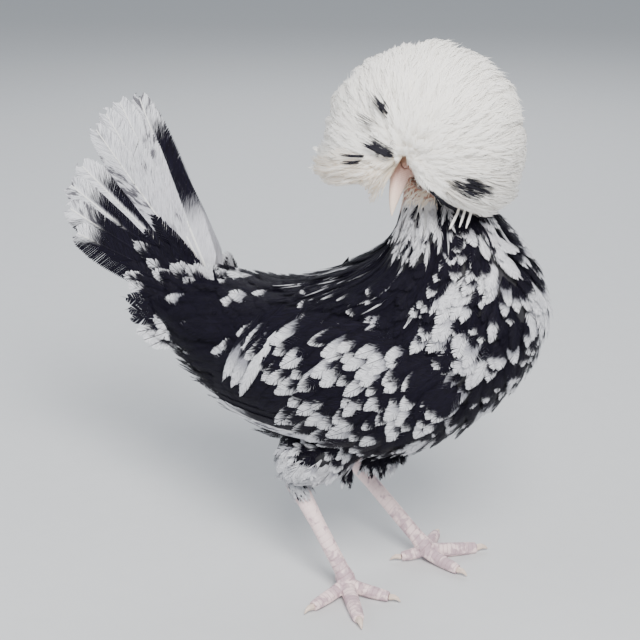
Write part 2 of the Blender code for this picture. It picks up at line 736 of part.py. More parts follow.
def make_wing(name, side, parts, guides, grown_torso):
    """The folded wing: its lens with the flight feathers and three tiers of coverts."""
    wing = wing_lens("wing_" + name, side, parts)
    feathers = []
    for tier in WING_TIERS:
        for i in range(tier.count):
            feathers.append(wing_feather(side, tier, i / (tier.count - 1), guides))
    union(wing, feathers)
    cut(wing, grown_torso)
    return wing


def tail_feather(side, rise, splay, start, length, lift, form, collection):
    """A feather of one half of the tail, at an angle of rise behind the rump."""
    rise = math.radians(rise)
    splay = math.radians(splay)
    out = Vector((-math.cos(rise) * math.cos(splay), side * math.sin(splay), math.sin(rise)))
    root = Vector((TAIL_ROOT.x, side * lift, TAIL_ROOT.z))
    upward = Vector((math.sin(rise), 0.0, math.cos(rise)))
    face = out.cross(upward).normalized()
    if face.y * side < 0:
        face.negate()
    face = Matrix.Rotation(math.radians(-side * TAIL_ROLL), 3, out) @ face
    path = [root + out * (start + length * t) + upward * TAIL_DROOP * t * t for t in form.steps]
    return feather_vane("tail feather", path, [face] * len(path), form, FEATHER_CAMBER, collection)


def make_tail(name, side, parts, guides):
    """One half of the tented tail: half the rump with its main feathers and their coverts."""
    half = body_loft("tail_" + name, RUMP, RUMP_SIDES, 2, parts, trim=(0.0, GAP))
    feathers = []
    for i, (rise, length) in enumerate(TAIL_FEATHERS):
        lean = TAIL_LEAN[name] * (1 - i / len(TAIL_FEATHERS))
        lift = TAIL_LIFT - TAIL_LIFT_STEP * i
        splay = TAIL_SPLAY[0] + TAIL_SPLAY[1] * i / (len(TAIL_FEATHERS) - 1)
        feathers.append(tail_feather(side, rise + lean, splay, TAIL_START, length, lift, TAIL_VANE, guides))
    for count, start, length, lift, low, high in TAIL_COVERTS:
        for i in range(count):
            share = i / (count - 1)
            rise = high + (low - high) * share + TAIL_LEAN[name] / 2
            splay = TAIL_COVERT_SPLAY[0] + TAIL_COVERT_SPLAY[1] * share
            feathers.append(tail_feather(side, rise, splay, start, length, lift, TAIL_COVERT_VANE, guides))
    union(half, feathers)
    other = Matrix.Translation((-0.1, -side * (0.1 - GAP / 2), 0.2))
    cut(half, box("other half", other, (0.5, 0.2, 0.6), guides))
    return half


def stand_on_origin(made):
    """Parents every part to an empty that brings the middle of the bird's base to the origin."""
    bpy.context.view_layer.update()
    corners = [Vector(corner) for part in made for corner in part.bound_box]
    middle = [(min(c[i] for c in corners) + max(c[i] for c in corners)) / 2 for i in (0, 1)]
    base = bpy.data.objects.new("bird_base", None)
    bpy.context.scene.collection.objects.link(base)
    for part in made:
        part.parent = base
    base.location = (-middle[0], -middle[1], 0.0)
    bpy.context.view_layer.update()


def main():
    clear_scene()
    parts = new_collection(OBJECT_NAME)
    guides = new_collection("cutters")
    guides.hide_render = True
    grown_torso = body_loft("grown torso", TORSO, BODY_SIDES, 2, guides, GAP, (-GAP, -GAP))
    grown_neck = body_loft("grown neck", NECK, NECK_SIDES, 2, guides, GAP, (-GAP, -GAP))
    torso = body_loft("torso", TORSO, BODY_SIDES, 2, parts)
    neck = body_loft("neck", NECK, NECK_SIDES, 2, parts, trim=(GAP, 0.0))
    clear_of_head(neck, guides, GAP)
    head = make_head(parts, guides)
    crest = make_crest(parts, guides)
    clear_of_head(crest, guides, CREST_CLEARANCE)
    cut(crest, grown_neck)
    finished = [(torso, MOTTLED_PLUMAGE), (neck, MOTTLED_PLUMAGE)]
    finished += [(head, FACE_SKIN), (crest, WHITE_PLUMAGE)]
    finished += [(part, BEAK_HORN) for part in make_beak(parts, guides)]
    for name, side in SIDES.items():
        finished.append((eyeball("eye_" + name, -side, parts), EYE_GLOSS))
        thigh = make_thigh(name, side, parts, grown_torso)
        shank = make_shank(name, side, parts, guides, thigh)
        foot, *claws = make_foot(name, side, parts, guides)
        finished += [(thigh, MOTTLED_PLUMAGE), (shank, LEG_SKIN), (foot, LEG_SKIN)]
        finished += [(claw, CLAW_HORN) for claw in claws]
        finished.append((make_wing(name, side, parts, guides, grown_torso), BLACK_PLUMAGE))
        finished.append((make_tail(name, side, parts, guides), BLACK_PLUMAGE))
    for guide in guides.objects:
        guide.display_type = "WIRE"
        guide.hide_render = True
    for part, finish in finished:
        finish_part(part, finish)
    stand_on_origin([part for part, finish in finished])


if __name__ == "__main__":
    main()
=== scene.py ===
"""The looks of a white-crested black mottled Polish hen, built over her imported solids.

Metres, +Z up. The breast faces +X and the bird's left side is +Y. Places on the bird are given
from the spot on the floor midway between her feet, and `Anatomy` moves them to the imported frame.
"""

import logging
import math
import random
from dataclasses import dataclass, field
from enum import Enum
from typing import Any, Callable, Iterable, Sequence

import bmesh
import bpy
import numpy as np
from mathutils import Matrix, Vector, noise
from mathutils.bvhtree import BVHTree


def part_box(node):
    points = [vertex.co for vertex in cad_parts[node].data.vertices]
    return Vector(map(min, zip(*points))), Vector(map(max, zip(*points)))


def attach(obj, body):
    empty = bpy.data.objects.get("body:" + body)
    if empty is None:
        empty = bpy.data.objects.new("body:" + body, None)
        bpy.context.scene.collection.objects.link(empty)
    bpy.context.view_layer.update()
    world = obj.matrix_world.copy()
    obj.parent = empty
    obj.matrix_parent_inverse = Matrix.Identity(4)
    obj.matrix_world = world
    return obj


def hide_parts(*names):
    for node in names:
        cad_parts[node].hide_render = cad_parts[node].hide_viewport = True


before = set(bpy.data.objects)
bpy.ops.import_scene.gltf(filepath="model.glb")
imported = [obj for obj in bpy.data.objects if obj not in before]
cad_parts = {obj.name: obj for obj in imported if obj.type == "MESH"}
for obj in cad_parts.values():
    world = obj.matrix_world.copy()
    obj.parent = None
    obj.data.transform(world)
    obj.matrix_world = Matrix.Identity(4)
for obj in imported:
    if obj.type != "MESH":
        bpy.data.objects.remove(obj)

log = logging.getLogger("polish_hen")
Piece = bpy.types.Object
Mesh = bpy.types.Mesh
Material = bpy.types.Material
Pair = tuple[float, float]
Colour = tuple[float, float, float]
Mark = tuple[float, float, float, float]
Window = tuple[Pair, ...]
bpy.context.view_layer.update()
COAT_DEPTH = 0.0055
MILLIMETRES = 1000.0


class Side(float, Enum):
    """The bird's sides, each by the sign of its Y."""

    LEFT = 1.0
    RIGHT = -1.0

    @property
    def word(self) -> str:
        """The side in the names of solids and pieces."""
        return self.name.lower()


def clamp(value: float) -> float:
    """The value held between 0 and 1."""
    return min(1.0, max(0.0, value))


def eased(share: float) -> float:
    """A share from 0 to 1, eased at both ends."""
    return share * share * (3 - 2 * share)


def even_shares(count: int) -> list[float]:
    """Shares from 0 to 1 in even steps."""
    return [k / (count - 1) for k in range(count)]


def ramp(ends: Pair, share: float) -> float:
    """A first value and its change, at a share of the way."""
    return ends[0] + ends[1] * share


def fixed(*parts: float) -> Any:
    """A dataclass field that starts as a vector."""
    return field(default_factory=lambda: Vector(parts))


def linked(name: str, data: Any) -> Piece:
    """An object of some data, linked to the scene."""
    made = bpy.data.objects.new(name, data)
    bpy.context.scene.collection.objects.link(made)
    return made


def solid(node: str) -> Mesh:
    """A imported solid's mesh."""
    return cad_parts[node].data


def freed(name: str, shape: bmesh.types.BMesh) -> Mesh:
    """Turns a shape into a mesh and frees the shape."""
    mesh = bpy.data.meshes.new(name)
    shape.to_mesh(mesh)
    shape.free()
    return mesh


def read_points(mesh: Mesh) -> tuple[np.ndarray, np.ndarray]:
    """A mesh's points and their normals, one row each."""
    both = np.empty((2, len(mesh.vertices) * 3), np.float32)
    for row, name in zip(both, ("co", "normal")):
        mesh.vertices.foreach_get(name, row)
    return both[0].reshape(-1, 3), both[1].reshape(-1, 3)


def write_marks(mesh: Mesh, marks: np.ndarray) -> None:
    """Gives each point of a mesh the marking that its material reads."""
    marked = mesh.attributes.new("mark", "FLOAT_COLOR", "POINT")
    marked.data.foreach_set("color", marks.astype(np.float32).ravel())


class Value:
    """A shader socket that can be used in Python expressions, each of which adds its Math nodes."""

    def __init__(self, shader: "Shader", socket: Any) -> None:
        """Wraps an output socket of a shader's node tree."""
        self.shader = shader
        self.socket = socket

    def _math(self, operation: str, *others: Any) -> "Value":
        """Adds one Math node on this and the other operands, and returns its result."""
        values = dict(enumerate((self, *others)))
        return self.shader.node("ShaderNodeMath", {"operation": operation}, values)["Value"]

    def __add__(self, other: Any) -> "Value":
        """Adds a value or number."""
        return self._math("ADD", other)

    __radd__ = __add__

    def __mul__(self, other: Any) -> "Value":
        """Multiplies by a value or number."""
        return self._math("MULTIPLY", other)

    __rmul__ = __mul__

    def __sub__(self, other: Any) -> "Value":
        """Subtracts a value or number."""
        return self._math("SUBTRACT", other)

    def __rsub__(self, other: Any) -> "Value":
        """Subtracts this from a number."""
        return self * -1.0 + other

    def __abs__(self) -> "Value":
        """The value without its sign."""
        return self._math("ABSOLUTE")

    def power(self, exponent: float) -> "Value":
        """Raises the value to a power."""
        return self._math("POWER", exponent)

    def wave(self) -> "Value":
        """The sine of the value."""
        return self._math("SINE")

    def over(self, low: float, high: float) -> "Value":
        """The share of the way from low to high, eased at both ends."""
        sockets = {"Value": self, "From Min": low, "From Max": high}
        return self.shader.node("ShaderNodeMapRange", {"interpolation_type": "SMOOTHSTEP"}, sockets)["Result"]


class Shader:
    """A material under construction."""

    def __init__(self, name: str) -> None:
        """Makes a material with an empty node tree but for its Principled shader."""
        self.material = bpy.data.materials.new(name)
        self.material.use_nodes = True
        self.tree = self.material.node_tree
        self.surface = self.tree.nodes["Principled BSDF"]

    def node(self, kind: str, settings: dict[str, Any] | None = None,
             sockets: dict[Any, Any] | None = None) -> dict[str, Value]:
        """Adds a node.

        Args:
            kind: the node's type.
            settings: its properties, set before its sockets.
            sockets: values or links for its inputs, by name or number.

        Returns:
            Its enabled outputs by name.
        """
        made = self.tree.nodes.new(kind)
        for name, value in (settings or {}).items():
            setattr(made, name, value)
        self.fill(made, sockets or {})
        return {output.name: Value(self, output) for output in made.outputs if output.enabled}

    def fill(self, made: Any, sockets: dict[Any, Any]) -> None:
        """Sets or links a node's inputs.

        Args:
            made: the node.
            sockets: values, numbers or colours by the inputs' names or places.
        """
        for name, value in sockets.items():
            if isinstance(name, str):
                target = next(item for item in made.inputs if item.name == name and item.enabled)
            else:
                target = made.inputs[name]
            if isinstance(value, Value):
                self.tree.links.new(value.socket, target)
            elif isinstance(value, tuple) and len(value) == 3 and target.type == "RGBA":
                target.default_value = (*value, 1.0)
            else:
                target.default_value = value

    def blend(self, first: Any, second: Any, share: Any) -> Value:
        """Mixes two colours by a share, from 0 for all of the first to 1 for all of the second."""
        settings = {"data_type": "RGBA"}
        return self.node("ShaderNodeMix", settings, {"Factor": share, "A": first, "B": second})["Result"]

    def noise(self, place: Value, scale: float, detail: float = 2.0, distortion: float = 0.0) -> Value:
        """Soft noise from 0 to 1 over a place, with how many finer layers it has and how far it is bent."""
        sockets = {"Vector": place, "Scale": scale, "Detail": detail, "Distortion": distortion}
        return self.node("ShaderNodeTexNoise", {}, sockets)["Fac"]

    def point(self) -> Value:
        """The place in the object's own frame."""
        return self.node("ShaderNodeTexCoord")["Object"]

    def vane(self) -> tuple[Value, Value]:
        """Where a point lies on its feather: across from -1 to 1, and along from 0 to 1."""
        place = self.node("ShaderNodeUVMap", {"uv_map": "Vane"})["UV"]
        parts = self.node("ShaderNodeSeparateXYZ", {}, {"Vector": place})
        return parts["X"] * 2.0 - 1.0, parts["Y"]

    def mark(self) -> dict[str, Value]:
        """The marking that each feather or point of skin carries, as red, green, blue and alpha."""
        found = self.node("ShaderNodeAttribute", {"attribute_name": "mark"})
        parts = self.node("ShaderNodeSeparateColor", {}, {"Color": found["Color"]})
        return {**parts, "Alpha": found["Alpha"]}

    def barbs(self, across: Value, barb: Value, seed: Value, steps: Mark) -> Value:
        """A place for noise along a feather's barbs: scales across and along, and its seed's two shifts."""
        sockets = {"X": across * steps[0] + seed * steps[2], "Y": barb * steps[1], "Z": seed * steps[3]}
        return self.node("ShaderNodeCombineXYZ", {}, sockets)["Vector"]

    def bump(self, height: Value, distance: float) -> Value:
        """A normal tilted by a height."""
        return self.node("ShaderNodeBump", {}, {"Height": height, "Distance": distance})["Normal"]

    def finish(self, **sockets: Any) -> Material:
        """Sets the Principled shader's sockets, named with underscores, and returns the material."""
        self.fill(self.surface, {name.replace("_", " "): value for name, value in sockets.items()})
        return self.material


@dataclass(frozen=True)
class PlumageFinish:
    """Vaned feathers, black with a violet sheen, and white from the tip as each is marked.

    The fibres are how fine the barbs are, the slant how far they lean, the fray how far the white's
    edge runs in and out along them, the shaft its half width, the smudge how dark grey smudges get,
    and the split, 0 or 1, whether each feather is black on one side of its shaft.
    """

    name: str
    dark: Colour = (0.0030, 0.0025, 0.0042)
    sheen: Colour = (0.0095, 0.0080, 0.0190)
    pale: Colour = (0.80, 0.80, 0.83)
    shadow: Colour = (0.26, 0.26, 0.30)
    # painted shade towards the roots of split feathers
    root_grey: Colour = (0.58, 0.57, 0.63)
    smoke: Colour = (0.085, 0.080, 0.095)
    quill: Colour = (0.90, 0.89, 0.86)
    relief: float = 0.00035
    fibres: float = 44.0
    slant: float = 0.30
    fray: float = 0.34
    shaft: float = 0.06
    smudge: float = 0.35
    split: float = 0.0

    def material(self) -> Material:
        """Builds the finish.

        The red mark is how far white reaches from the tip, green how round it ends, or the side
        of a split feather that is black, blue a seed, and alpha how dark the shaft is on white.
        """
        shader = Shader(self.name)
        across, along = shader.vane()
        mark = shader.mark()
        barb = along - abs(across) * self.slant
        place = shader.barbs(across, barb, mark["Blue"], (1.3, 11.0, 37.0, 91.0))
        streak = shader.noise(place, 2.4, 3.0)
        fine_place = shader.barbs(across, barb, mark["Blue"], (1.1, self.fibres, 19.0, 53.0))
        fibre = shader.noise(fine_place, 2.6, 2.0)
        rounding = abs(across).power(1.8) * (mark["Green"] - 0.35) * (1.0 - self.split)
        ragged = (streak - 0.5) * self.fray + (fibre - 0.5) * 0.20
        edge = along - (1.0 - mark["Red"]) + ragged - rounding * 0.34
        outer = (across * mark["Green"]).over(-0.05, 0.05)
        edge = edge + abs(across).power(9.0) * (self.split * 0.32)
        edge = edge - abs(across) * (1.0 - outer) * self.split * 0.24
        white = edge.over(-0.075, 0.075) * mark["Red"].over(0.02, 0.06)
        half = (across * mark["Green"] + (fibre - 0.5) * 0.5).over(0.0, 0.14) * self.split
        frayed = along + (fibre - 0.5) * 0.3
        white = white * (1.0 - half * (1.0 - frayed.over(0.78, 0.92)) * frayed.over(0.32, 0.48))
        shaft = 1.0 - (abs(across) * (0.6 + along)).over(self.shaft * 0.4, self.shaft)
        low, high = 0.56 - 0.10 * self.split, 0.74 - 0.14 * self.split
        cloud = shader.noise(place, 0.42, 0.0).over(0.46, 0.54) * self.split + (1.0 - self.split)
        upper = along.over(0.35 - 0.05 * self.split, 0.70 - 0.28 * self.split)
        smudge = streak.over(low, high) * (upper * self.smudge) * cloud
        black = shader.blend(self.dark, self.sheen, fibre.over(0.30, 0.75))
        tipward = (along + (fibre - 0.5) * 0.25).over(0.62, 0.90) * 0.75 + mark["Red"].over(0.5, 0.8)
        bright = fibre.over(0.26, 0.58) * (tipward + 0.25 + self.split).over(0.0, 1.0)
        pale = shader.blend(self.shadow, self.pale, bright)
        # Painted shade: the white of split feathers greys towards the root.
        pale = shader.blend(pale, self.root_grey, (1.0 - along.over(0.45, 0.85)) * self.split * 0.55)
        pale = shader.blend(pale, self.smoke, smudge)
        pale = shader.blend(pale, self.quill, shaft * self.split)
        pale = shader.blend(pale, self.dark, shaft * mark["Alpha"])
        colour = shader.blend(black, pale, white)
        relief = shader.bump(fibre + shaft * 0.6, self.relief)
        rough = white * 0.30 + 0.48 + (fibre - 0.5) * 0.16
        return shader.finish(Base_Color=colour, Roughness=rough, Normal=relief, Specular_IOR_Level=0.08)


@dataclass(frozen=True)
class CrestFinish:
    """Soft white crest feathers with ivory shadows, a little staining and a few dark marks."""

    name: str
    white: Colour = (0.92, 0.895, 0.85)
    ivory: Colour = (0.86, 0.78, 0.65)
    stain: Colour = (0.66, 0.47, 0.26)
    grey: Colour = (0.70, 0.68, 0.66)
    dark: Colour = (0.020, 0.019, 0.026)
    relief: float = 0.0002
    glow: float = 0.13

    def material(self) -> Material:
        """Builds the finish.

        The red mark is how dark a feather is and alpha how far along it, green is its stain, and
        blue a seed. The faint glow stands for light that the loose white barbs pass on.
        """
        shader = Shader(self.name)
        across, along = shader.vane()
        mark = shader.mark()
        barb = along - abs(across) * 0.5
        streak = shader.noise(shader.barbs(across, barb, mark["Blue"], (7.0, 3.0, 53.0, 17.0)), 1.6, 3.0)
        ground = shader.blend(self.ivory, self.white, along.over(0.1, 0.6))
        ground = shader.blend(ground, self.grey, streak.over(0.50, 0.80) * 0.35)
        ground = shader.blend(ground, self.stain, mark["Green"] * streak.over(0.25, 0.75) * 0.8)
        off = abs(along - mark["Alpha"] + (streak - 0.5) * 0.25) - mark["Red"].over(1.0, 2.0)
        band = 1.0 - off.over(0.10, 0.24)
        black = (mark["Red"] * band + (streak - 0.5) * 0.9).over(0.30, 0.50) * band
        colour = shader.blend(ground, self.dark, black * (mark["Red"] * 1.5).over(0.0, 1.0))
        relief = shader.bump(streak, self.relief)
        glow = shader.blend(colour, (0.0, 0.0, 0.0), black)
        return shader.finish(Base_Color=colour, Roughness=0.85, Normal=relief, Specular_IOR_Level=0.2,
                             Emission_Color=glow, Emission_Strength=self.glow)


@dataclass(frozen=True)
class HideFinish:
    """The skin under the coat, in the coat's own black and white, and bare pink on the face with painted
    glints.
    """

    name: str = "hide"
    dark: Colour = (0.010, 0.009, 0.013)
    pale: Colour = (0.62, 0.61, 0.61)
    bare: Colour = (0.58, 0.36, 0.29)
    flush: Colour = (0.40, 0.17, 0.12)
    flake: Colour = (0.66, 0.48, 0.40)
    relief: float = 0.0006

    def material(self) -> Material:
        """Builds the finish: red marks pale skin, and green the bare face."""
        shader = Shader(self.name)
        point = shader.point()
        mark = shader.mark()
        grain = shader.noise(point, 900.0, 3.0)
        patch = shader.noise(point, 160.0, 2.0)
        coat = shader.blend(self.dark, self.pale, mark["Red"])
        face = shader.blend(self.bare, self.flush, patch.over(0.40, 0.72))
        # Painted glints: pale flecks over the fine grain stand for small highlights on the bare face.
        face = shader.blend(face, self.flake, grain.over(0.52, 0.75) * 0.6)
        colour = shader.blend(coat, face, mark["Green"])
        relief = shader.bump(grain, self.relief)
        return shader.finish(Base_Color=colour, Roughness=0.62, Normal=relief)


@dataclass(frozen=True)
class LegFinish:
    """Pale pinkish leg skin, mottled grey and purple towards the feet, with scutes in relief."""

    name: str = "leg_skin"
    pale: Colour = (0.90, 0.70, 0.69)
    mottle: Colour = (0.40, 0.27, 0.33)
    seam: Colour = (0.36, 0.22, 0.25)
    flake: Colour = (0.80, 0.68, 0.62)
    relief: float = 0.0004

    def material(self) -> Material:
        """Builds the finish: red marks the seams between scutes, green the height above the floor."""
        shader = Shader(self.name)
        point = shader.point()
        mark = shader.mark()
        blot = shader.noise(point, 130.0, 4.0, 0.6)
        fine = shader.noise(point, 900.0, 2.0)
        low = 1.0 - mark["Green"].over(0.10, 0.75)
        colour = shader.blend(self.pale, self.mottle, (blot + low * 0.14).over(0.54, 0.70) * 0.75)
        colour = shader.blend(colour, self.flake, fine.over(0.50, 0.80) * 0.35)
        colour = shader.blend(colour, self.seam, mark["Red"] * (low * 0.8 + 0.08))
        relief = shader.bump(fine * 0.5 + blot * 0.3, self.relief)
        return shader.finish(Base_Color=colour, Roughness=0.5 + fine * 0.15, Normal=relief)


@dataclass(frozen=True)
class HornFinish:
    """Beak and claw horn: pale ivory pink, pinker at the root, with faint growth lines.

    The root's colour ends at `low` along the direction, and the tip's begins at `high`.
    """

    name: str
    tip: Colour
    root: Colour
    direction: tuple[float, float, float]
    low: float
    high: float
    line: Colour = (0.52, 0.33, 0.26)
    lines_per_metre: float = 5200.0
    relief: float = 0.0002

    def material(self) -> Material:
        """Builds the finish along the piece's own direction."""
        shader = Shader(self.name)
        point = shader.point()
        settings = {"operation": "DOT_PRODUCT"}
        along = shader.node("ShaderNodeVectorMath", settings, {0: point, 1: self.direction})["Value"]
        blot = shader.noise(point, 260.0, 3.0)
        share = (along + (blot - 0.5) * 0.006).over(self.low, self.high)
        colour = shader.blend(self.root, self.tip, share)
        lines = (along * self.lines_per_metre + blot * 6.0).wave() * 0.5 + 0.5
        colour = shader.blend(colour, self.line, lines * 0.12)
        relief = shader.bump(lines * 0.4 + blot, self.relief)
        rough = 0.32 + blot * 0.2
        return shader.finish(Base_Color=colour, Roughness=rough, Normal=relief, Coat_Weight=0.15)


@dataclass(frozen=True)
class EyeFinish:
    """A wet orange-brown iris round a black pupil, seen along the eye's own axis."""

    name: str = "eye_gloss"
    pupil: Colour = (0.004, 0.003, 0.003)
    iris: Colour = (0.42, 0.12, 0.02)
    iris_dark: Colour = (0.16, 0.035, 0.008)
    rim: Colour = (0.05, 0.02, 0.012)
    pupil_edge: Pair = (0.0017, 0.0020)
    iris_edge: Pair = (0.0038, 0.0046)

    def material(self) -> Material:
        """Builds the finish from the point's distance to the eye's axis, its local Z."""
        shader = Shader(self.name)
        point = shader.point()
        sockets = {0: point, 1: (1.0, 1.0, 0.0)}
        flat = shader.node("ShaderNodeVectorMath", {"operation": "MULTIPLY"}, sockets)
        away = shader.node("ShaderNodeVectorMath", {"operation": "LENGTH"}, {0: flat["Vector"]})["Value"]
        fibre = shader.noise(point, 1400.0, 3.0)
        iris = shader.blend(self.iris, self.iris_dark, fibre.over(0.35, 0.65))
        colour = shader.blend(self.pupil, iris, away.over(*self.pupil_edge))
        colour = shader.blend(colour, self.rim, away.over(*self.iris_edge))
        return shader.finish(Base_Color=colour, Roughness=0.06, Coat_Weight=1.0, Coat_Roughness=0.02)


@dataclass(frozen=True)
class FloorFinish:
    """A plain pale matt floor."""

    name: str = "pale_floor"
    darker: Colour = (0.60, 0.61, 0.62)
    lighter: Colour = (0.63, 0.64, 0.65)

    def material(self) -> Material:
        """Builds the finish."""
        shader = Shader(self.name)
        speck = shader.noise(shader.point(), 60.0, 2.0)
        colour = shader.blend(self.darker, self.lighter, speck)
        return shader.finish(Base_Color=colour, Roughness=0.85)


@dataclass
class Anatomy:
    """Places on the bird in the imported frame, worked out from her eyes."""

    head_heading: float = -96.0
    head_pitch: float = -30.0
    skull_centre: Vector = fixed(0.032, -0.029, 0.351)
    eye_middle: Vector = fixed(0.0, 0.0085, 0.0030)
    hock_back: float = 0.060
    stance: float = 0.037
    foot_advance: float = 0.016
    ankle_height: float = 0.0125
    shift: Vector = field(init=False)

    def __post_init__(self) -> None:
        """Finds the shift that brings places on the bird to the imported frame."""
        corners = [Vector(corner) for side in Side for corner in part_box("eye_" + side.word)]
        self.shift = sum(corners, Vector()) / 4 - self._turn(self.skull_centre) @ self.eye_middle

    def _turn(self, centre: Vector) -> Matrix:
        """The head's frame at a centre: X to its right, Y along the beak, Z up."""
        heading = Matrix.Rotation(math.radians(self.head_heading - 90), 4, "Z")
        pitch = Matrix.Rotation(math.radians(self.head_pitch), 4, "X")
        return Matrix.Translation(centre) @ heading @ pitch

    @property
    def head(self) -> Matrix:
        """The head's frame, packed."""
        return self._turn(self.skull_centre + self.shift)

    def at(self, x: float, y: float, z: float) -> Vector:
        """A place on the bird, packed."""
        return Vector((x, y, z)) + self.shift

    def hock(self, side: Side, height: float) -> Vector:
        """A place near a hock, packed."""
        return self.at(-self.hock_back, side * self.stance, height)

    def ankle(self, side: Side) -> Vector:
        """The place where a foot's toes meet, packed."""
        return self.at(side * self.foot_advance, side * self.stance, self.ankle_height)


@dataclass
class Studio:
    """The camera at the photograph's angle, soft lights and a pale floor.

    Each lamp has its place from the target, its size, power and tint.
    """

    anatomy: Anatomy
    azimuth: float = 27.0
    elevation: float = 20.0
    distance: float = 1.1
    focal_pixels: float = 1430.0
    frame_pixels: float = 640.0
    sensor: float = 36.0
    target: tuple[float, float, float] = (-0.0718, 0.0286, 0.19)
    lamps: tuple[tuple[str, tuple[float, float, float], float, float, Colour], ...] = (
        ("key", (0.9, -1.2, 1.4), 0.8, 72.0, (1.0, 0.985, 0.96)),
        ("fill", (-1.5, -0.9, 0.8), 1.4, 12.0, (0.93, 0.96, 1.0)),
        ("back", (-0.6, 1.5, 1.3), 1.2, 20.0, (0.97, 0.98, 1.0)),
    )
    sky: Colour = (0.86, 0.92, 1.0)
    sky_strength: float = 0.55
    floor_size: float = 9.0
    floor_drop: float = 0.0004

    def back(self) -> Vector:
        """The direction from the target to the camera."""
        around, rise = math.radians(self.azimuth), math.radians(self.elevation)
        flat = math.cos(rise)
        return Vector((math.sin(around) * flat, -math.cos(around) * flat, math.sin(rise)))

    def aim(self, spot: Vector, at: Vector) -> Matrix:
        """A frame at a spot whose -Z looks at a point, with Y up."""
        return Matrix.LocRotScale(spot, (at - spot).to_track_quat("-Z", "Y"), None)

    def view(self) -> Matrix:
        """The camera's frame."""
        middle = self.anatomy.at(*self.target)
        return self.aim(middle + self.back() * self.distance, middle)

    def ray(self, pixel: Pair) -> tuple[Vector, Vector]:
        """The camera's place and the direction through a pixel of the photograph.

        Args:
            pixel: the pixel's column and row.

        Returns:
            The camera's place, and the direction.
        """
        view = self.view()
        half = self.frame_pixels / 2
        along = view.to_3x3() @ Vector((pixel[0] - half, half - pixel[1], -self.focal_pixels))
        return view.to_translation(), along.normalized()

    def meets(self, pixel: Pair, middle: Vector, radii: Vector,
              square: float = 1.0) -> Vector:
        """Where the ray through a pixel meets an ellipsoid, or passes nearest to it.

        Args:
            pixel: the pixel of the photograph.
            middle: the ellipsoid's middle.
            radii: its radii.
            square: the square of the share of its radii that counts as its outside.

        Returns:
            The nearer place.
        """
        eye, way = self.ray(pixel)
        start = Vector([(a - b) / r for a, b, r in zip(eye, middle, radii)])
        along = Vector([a / r for a, r in zip(way, radii)])
        half = start.dot(along) / along.length_squared
        left = max(0.0, half**2 - (start.length_squared - square) / along.length_squared)
        return eye + way * (-half - math.sqrt(left))

    def pixel(self, place: Vector) -> Pair:
        """The pixel of the photograph that a place falls on.

        Args:
            place: the place, packed.

        Returns:
            Its column and row.
        """
        seen = self.view().inverted() @ place
        half = self.frame_pixels / 2
        return half - seen.x / seen.z * self.focal_pixels, half + seen.y / seen.z * self.focal_pixels

    def covers(self, place: Vector, window: Window) -> bool:
        """Whether a place falls inside an outline drawn over the photograph.

        Args:
            place: the place, packed.
            window: the outline's corners, in pixels.

        Returns:
            Whether it is inside.
        """
        x, y = self.pixel(place)
        inside = False
        for (x1, y1), (x2, y2) in zip(window, window[1:] + window[:1]):
            if (y1 > y) != (y2 > y) and x < x1 + (y - y1) * (x2 - x1) / (y2 - y1):
                inside = not inside
        return inside

    def build(self) -> None:
        """Sets the camera, the lights, the world and the floor."""
        lens = bpy.data.cameras.new("camera")
        lens.sensor_width = self.sensor
        lens.lens = self.focal_pixels / self.frame_pixels * self.sensor
        camera = linked("camera", lens)
        camera.matrix_world = self.view()
        bpy.context.scene.camera = camera
        middle = self.anatomy.at(*self.target)
        for name, place, size, power, tint in self.lamps:
            lamp = bpy.data.lights.new(name, "AREA")
            lamp.size, lamp.energy, lamp.color = size, power, tint
            linked(name, lamp).matrix_world = self.aim(middle + Vector(place), middle)
        world = bpy.data.worlds.new("soft sky")
        world.use_nodes = True
        sky = world.node_tree.nodes["Background"]
        sky.inputs["Color"].default_value = (*self.sky, 1.0)
        sky.inputs["Strength"].default_value = self.sky_strength
        bpy.context.scene.world = world
        bpy.ops.mesh.primitive_plane_add(size=self.floor_size, location=(0, 0, -self.floor_drop))
        floor = bpy.context.active_object
        floor.name = "floor"
        floor.data.materials.append(FloorFinish().material())


def mesh_piece(name: str, points: np.ndarray, triangles: np.ndarray) -> Piece:
    """A linked mesh object from points and triangles.

    Args:
        name: the object's name.
        points: the points, one row each.
        triangles: the points' numbers, three in each row.

    Returns:
        The object.
    """
    mesh = bpy.data.meshes.new(name)
    mesh.vertices.add(len(points))
    mesh.vertices.foreach_set("co", np.ascontiguousarray(points, np.float32).ravel())
    mesh.loops.add(triangles.size)
    mesh.loops.foreach_set("vertex_index", triangles.astype(np.int32).ravel())
    mesh.polygons.add(len(triangles))
    mesh.polygons.foreach_set("loop_start", np.arange(0, triangles.size, 3, dtype=np.int32))
    mesh.update(calc_edges=True)
    return linked(name, mesh)


def carry(piece: Piece, slot: str, material: Material, *nodes: str) -> None:
    """Dresses a piece, lets it ride, and hides the solids that it replaces.

    Args:
        piece: the piece.
        slot: not used.
        material: its material.
        nodes: the solids that it replaces.
    """
    piece.data.materials.clear()
    piece.data.materials.append(material)
    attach(piece, "root")
    if nodes:
        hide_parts(*nodes)
    log.info("%s: %d triangles", piece.name, len(piece.data.polygons))


def ring_loft(name: str, rings: Sequence[Sequence[Vector]]) -> Mesh:
    """A closed loft through rings of equal counts.

    Args:
        name: the mesh's name.
        rings: the rings, from end to end.

    Returns:
        The mesh.
    """
    shape = bmesh.new()
    rows = [[shape.verts.new(point) for point in ring] for ring in rings]
    for low, high in zip(rows, rows[1:]):
        for i in range(len(low)):
            j = (i + 1) % len(low)
            shape.faces.new((low[i], low[j], high[j], high[i]))
    shape.faces.new(rows[0])
    shape.faces.new(rows[-1])
    bmesh.ops.recalc_face_normals(shape, faces=shape.faces)
    return freed(name, shape)


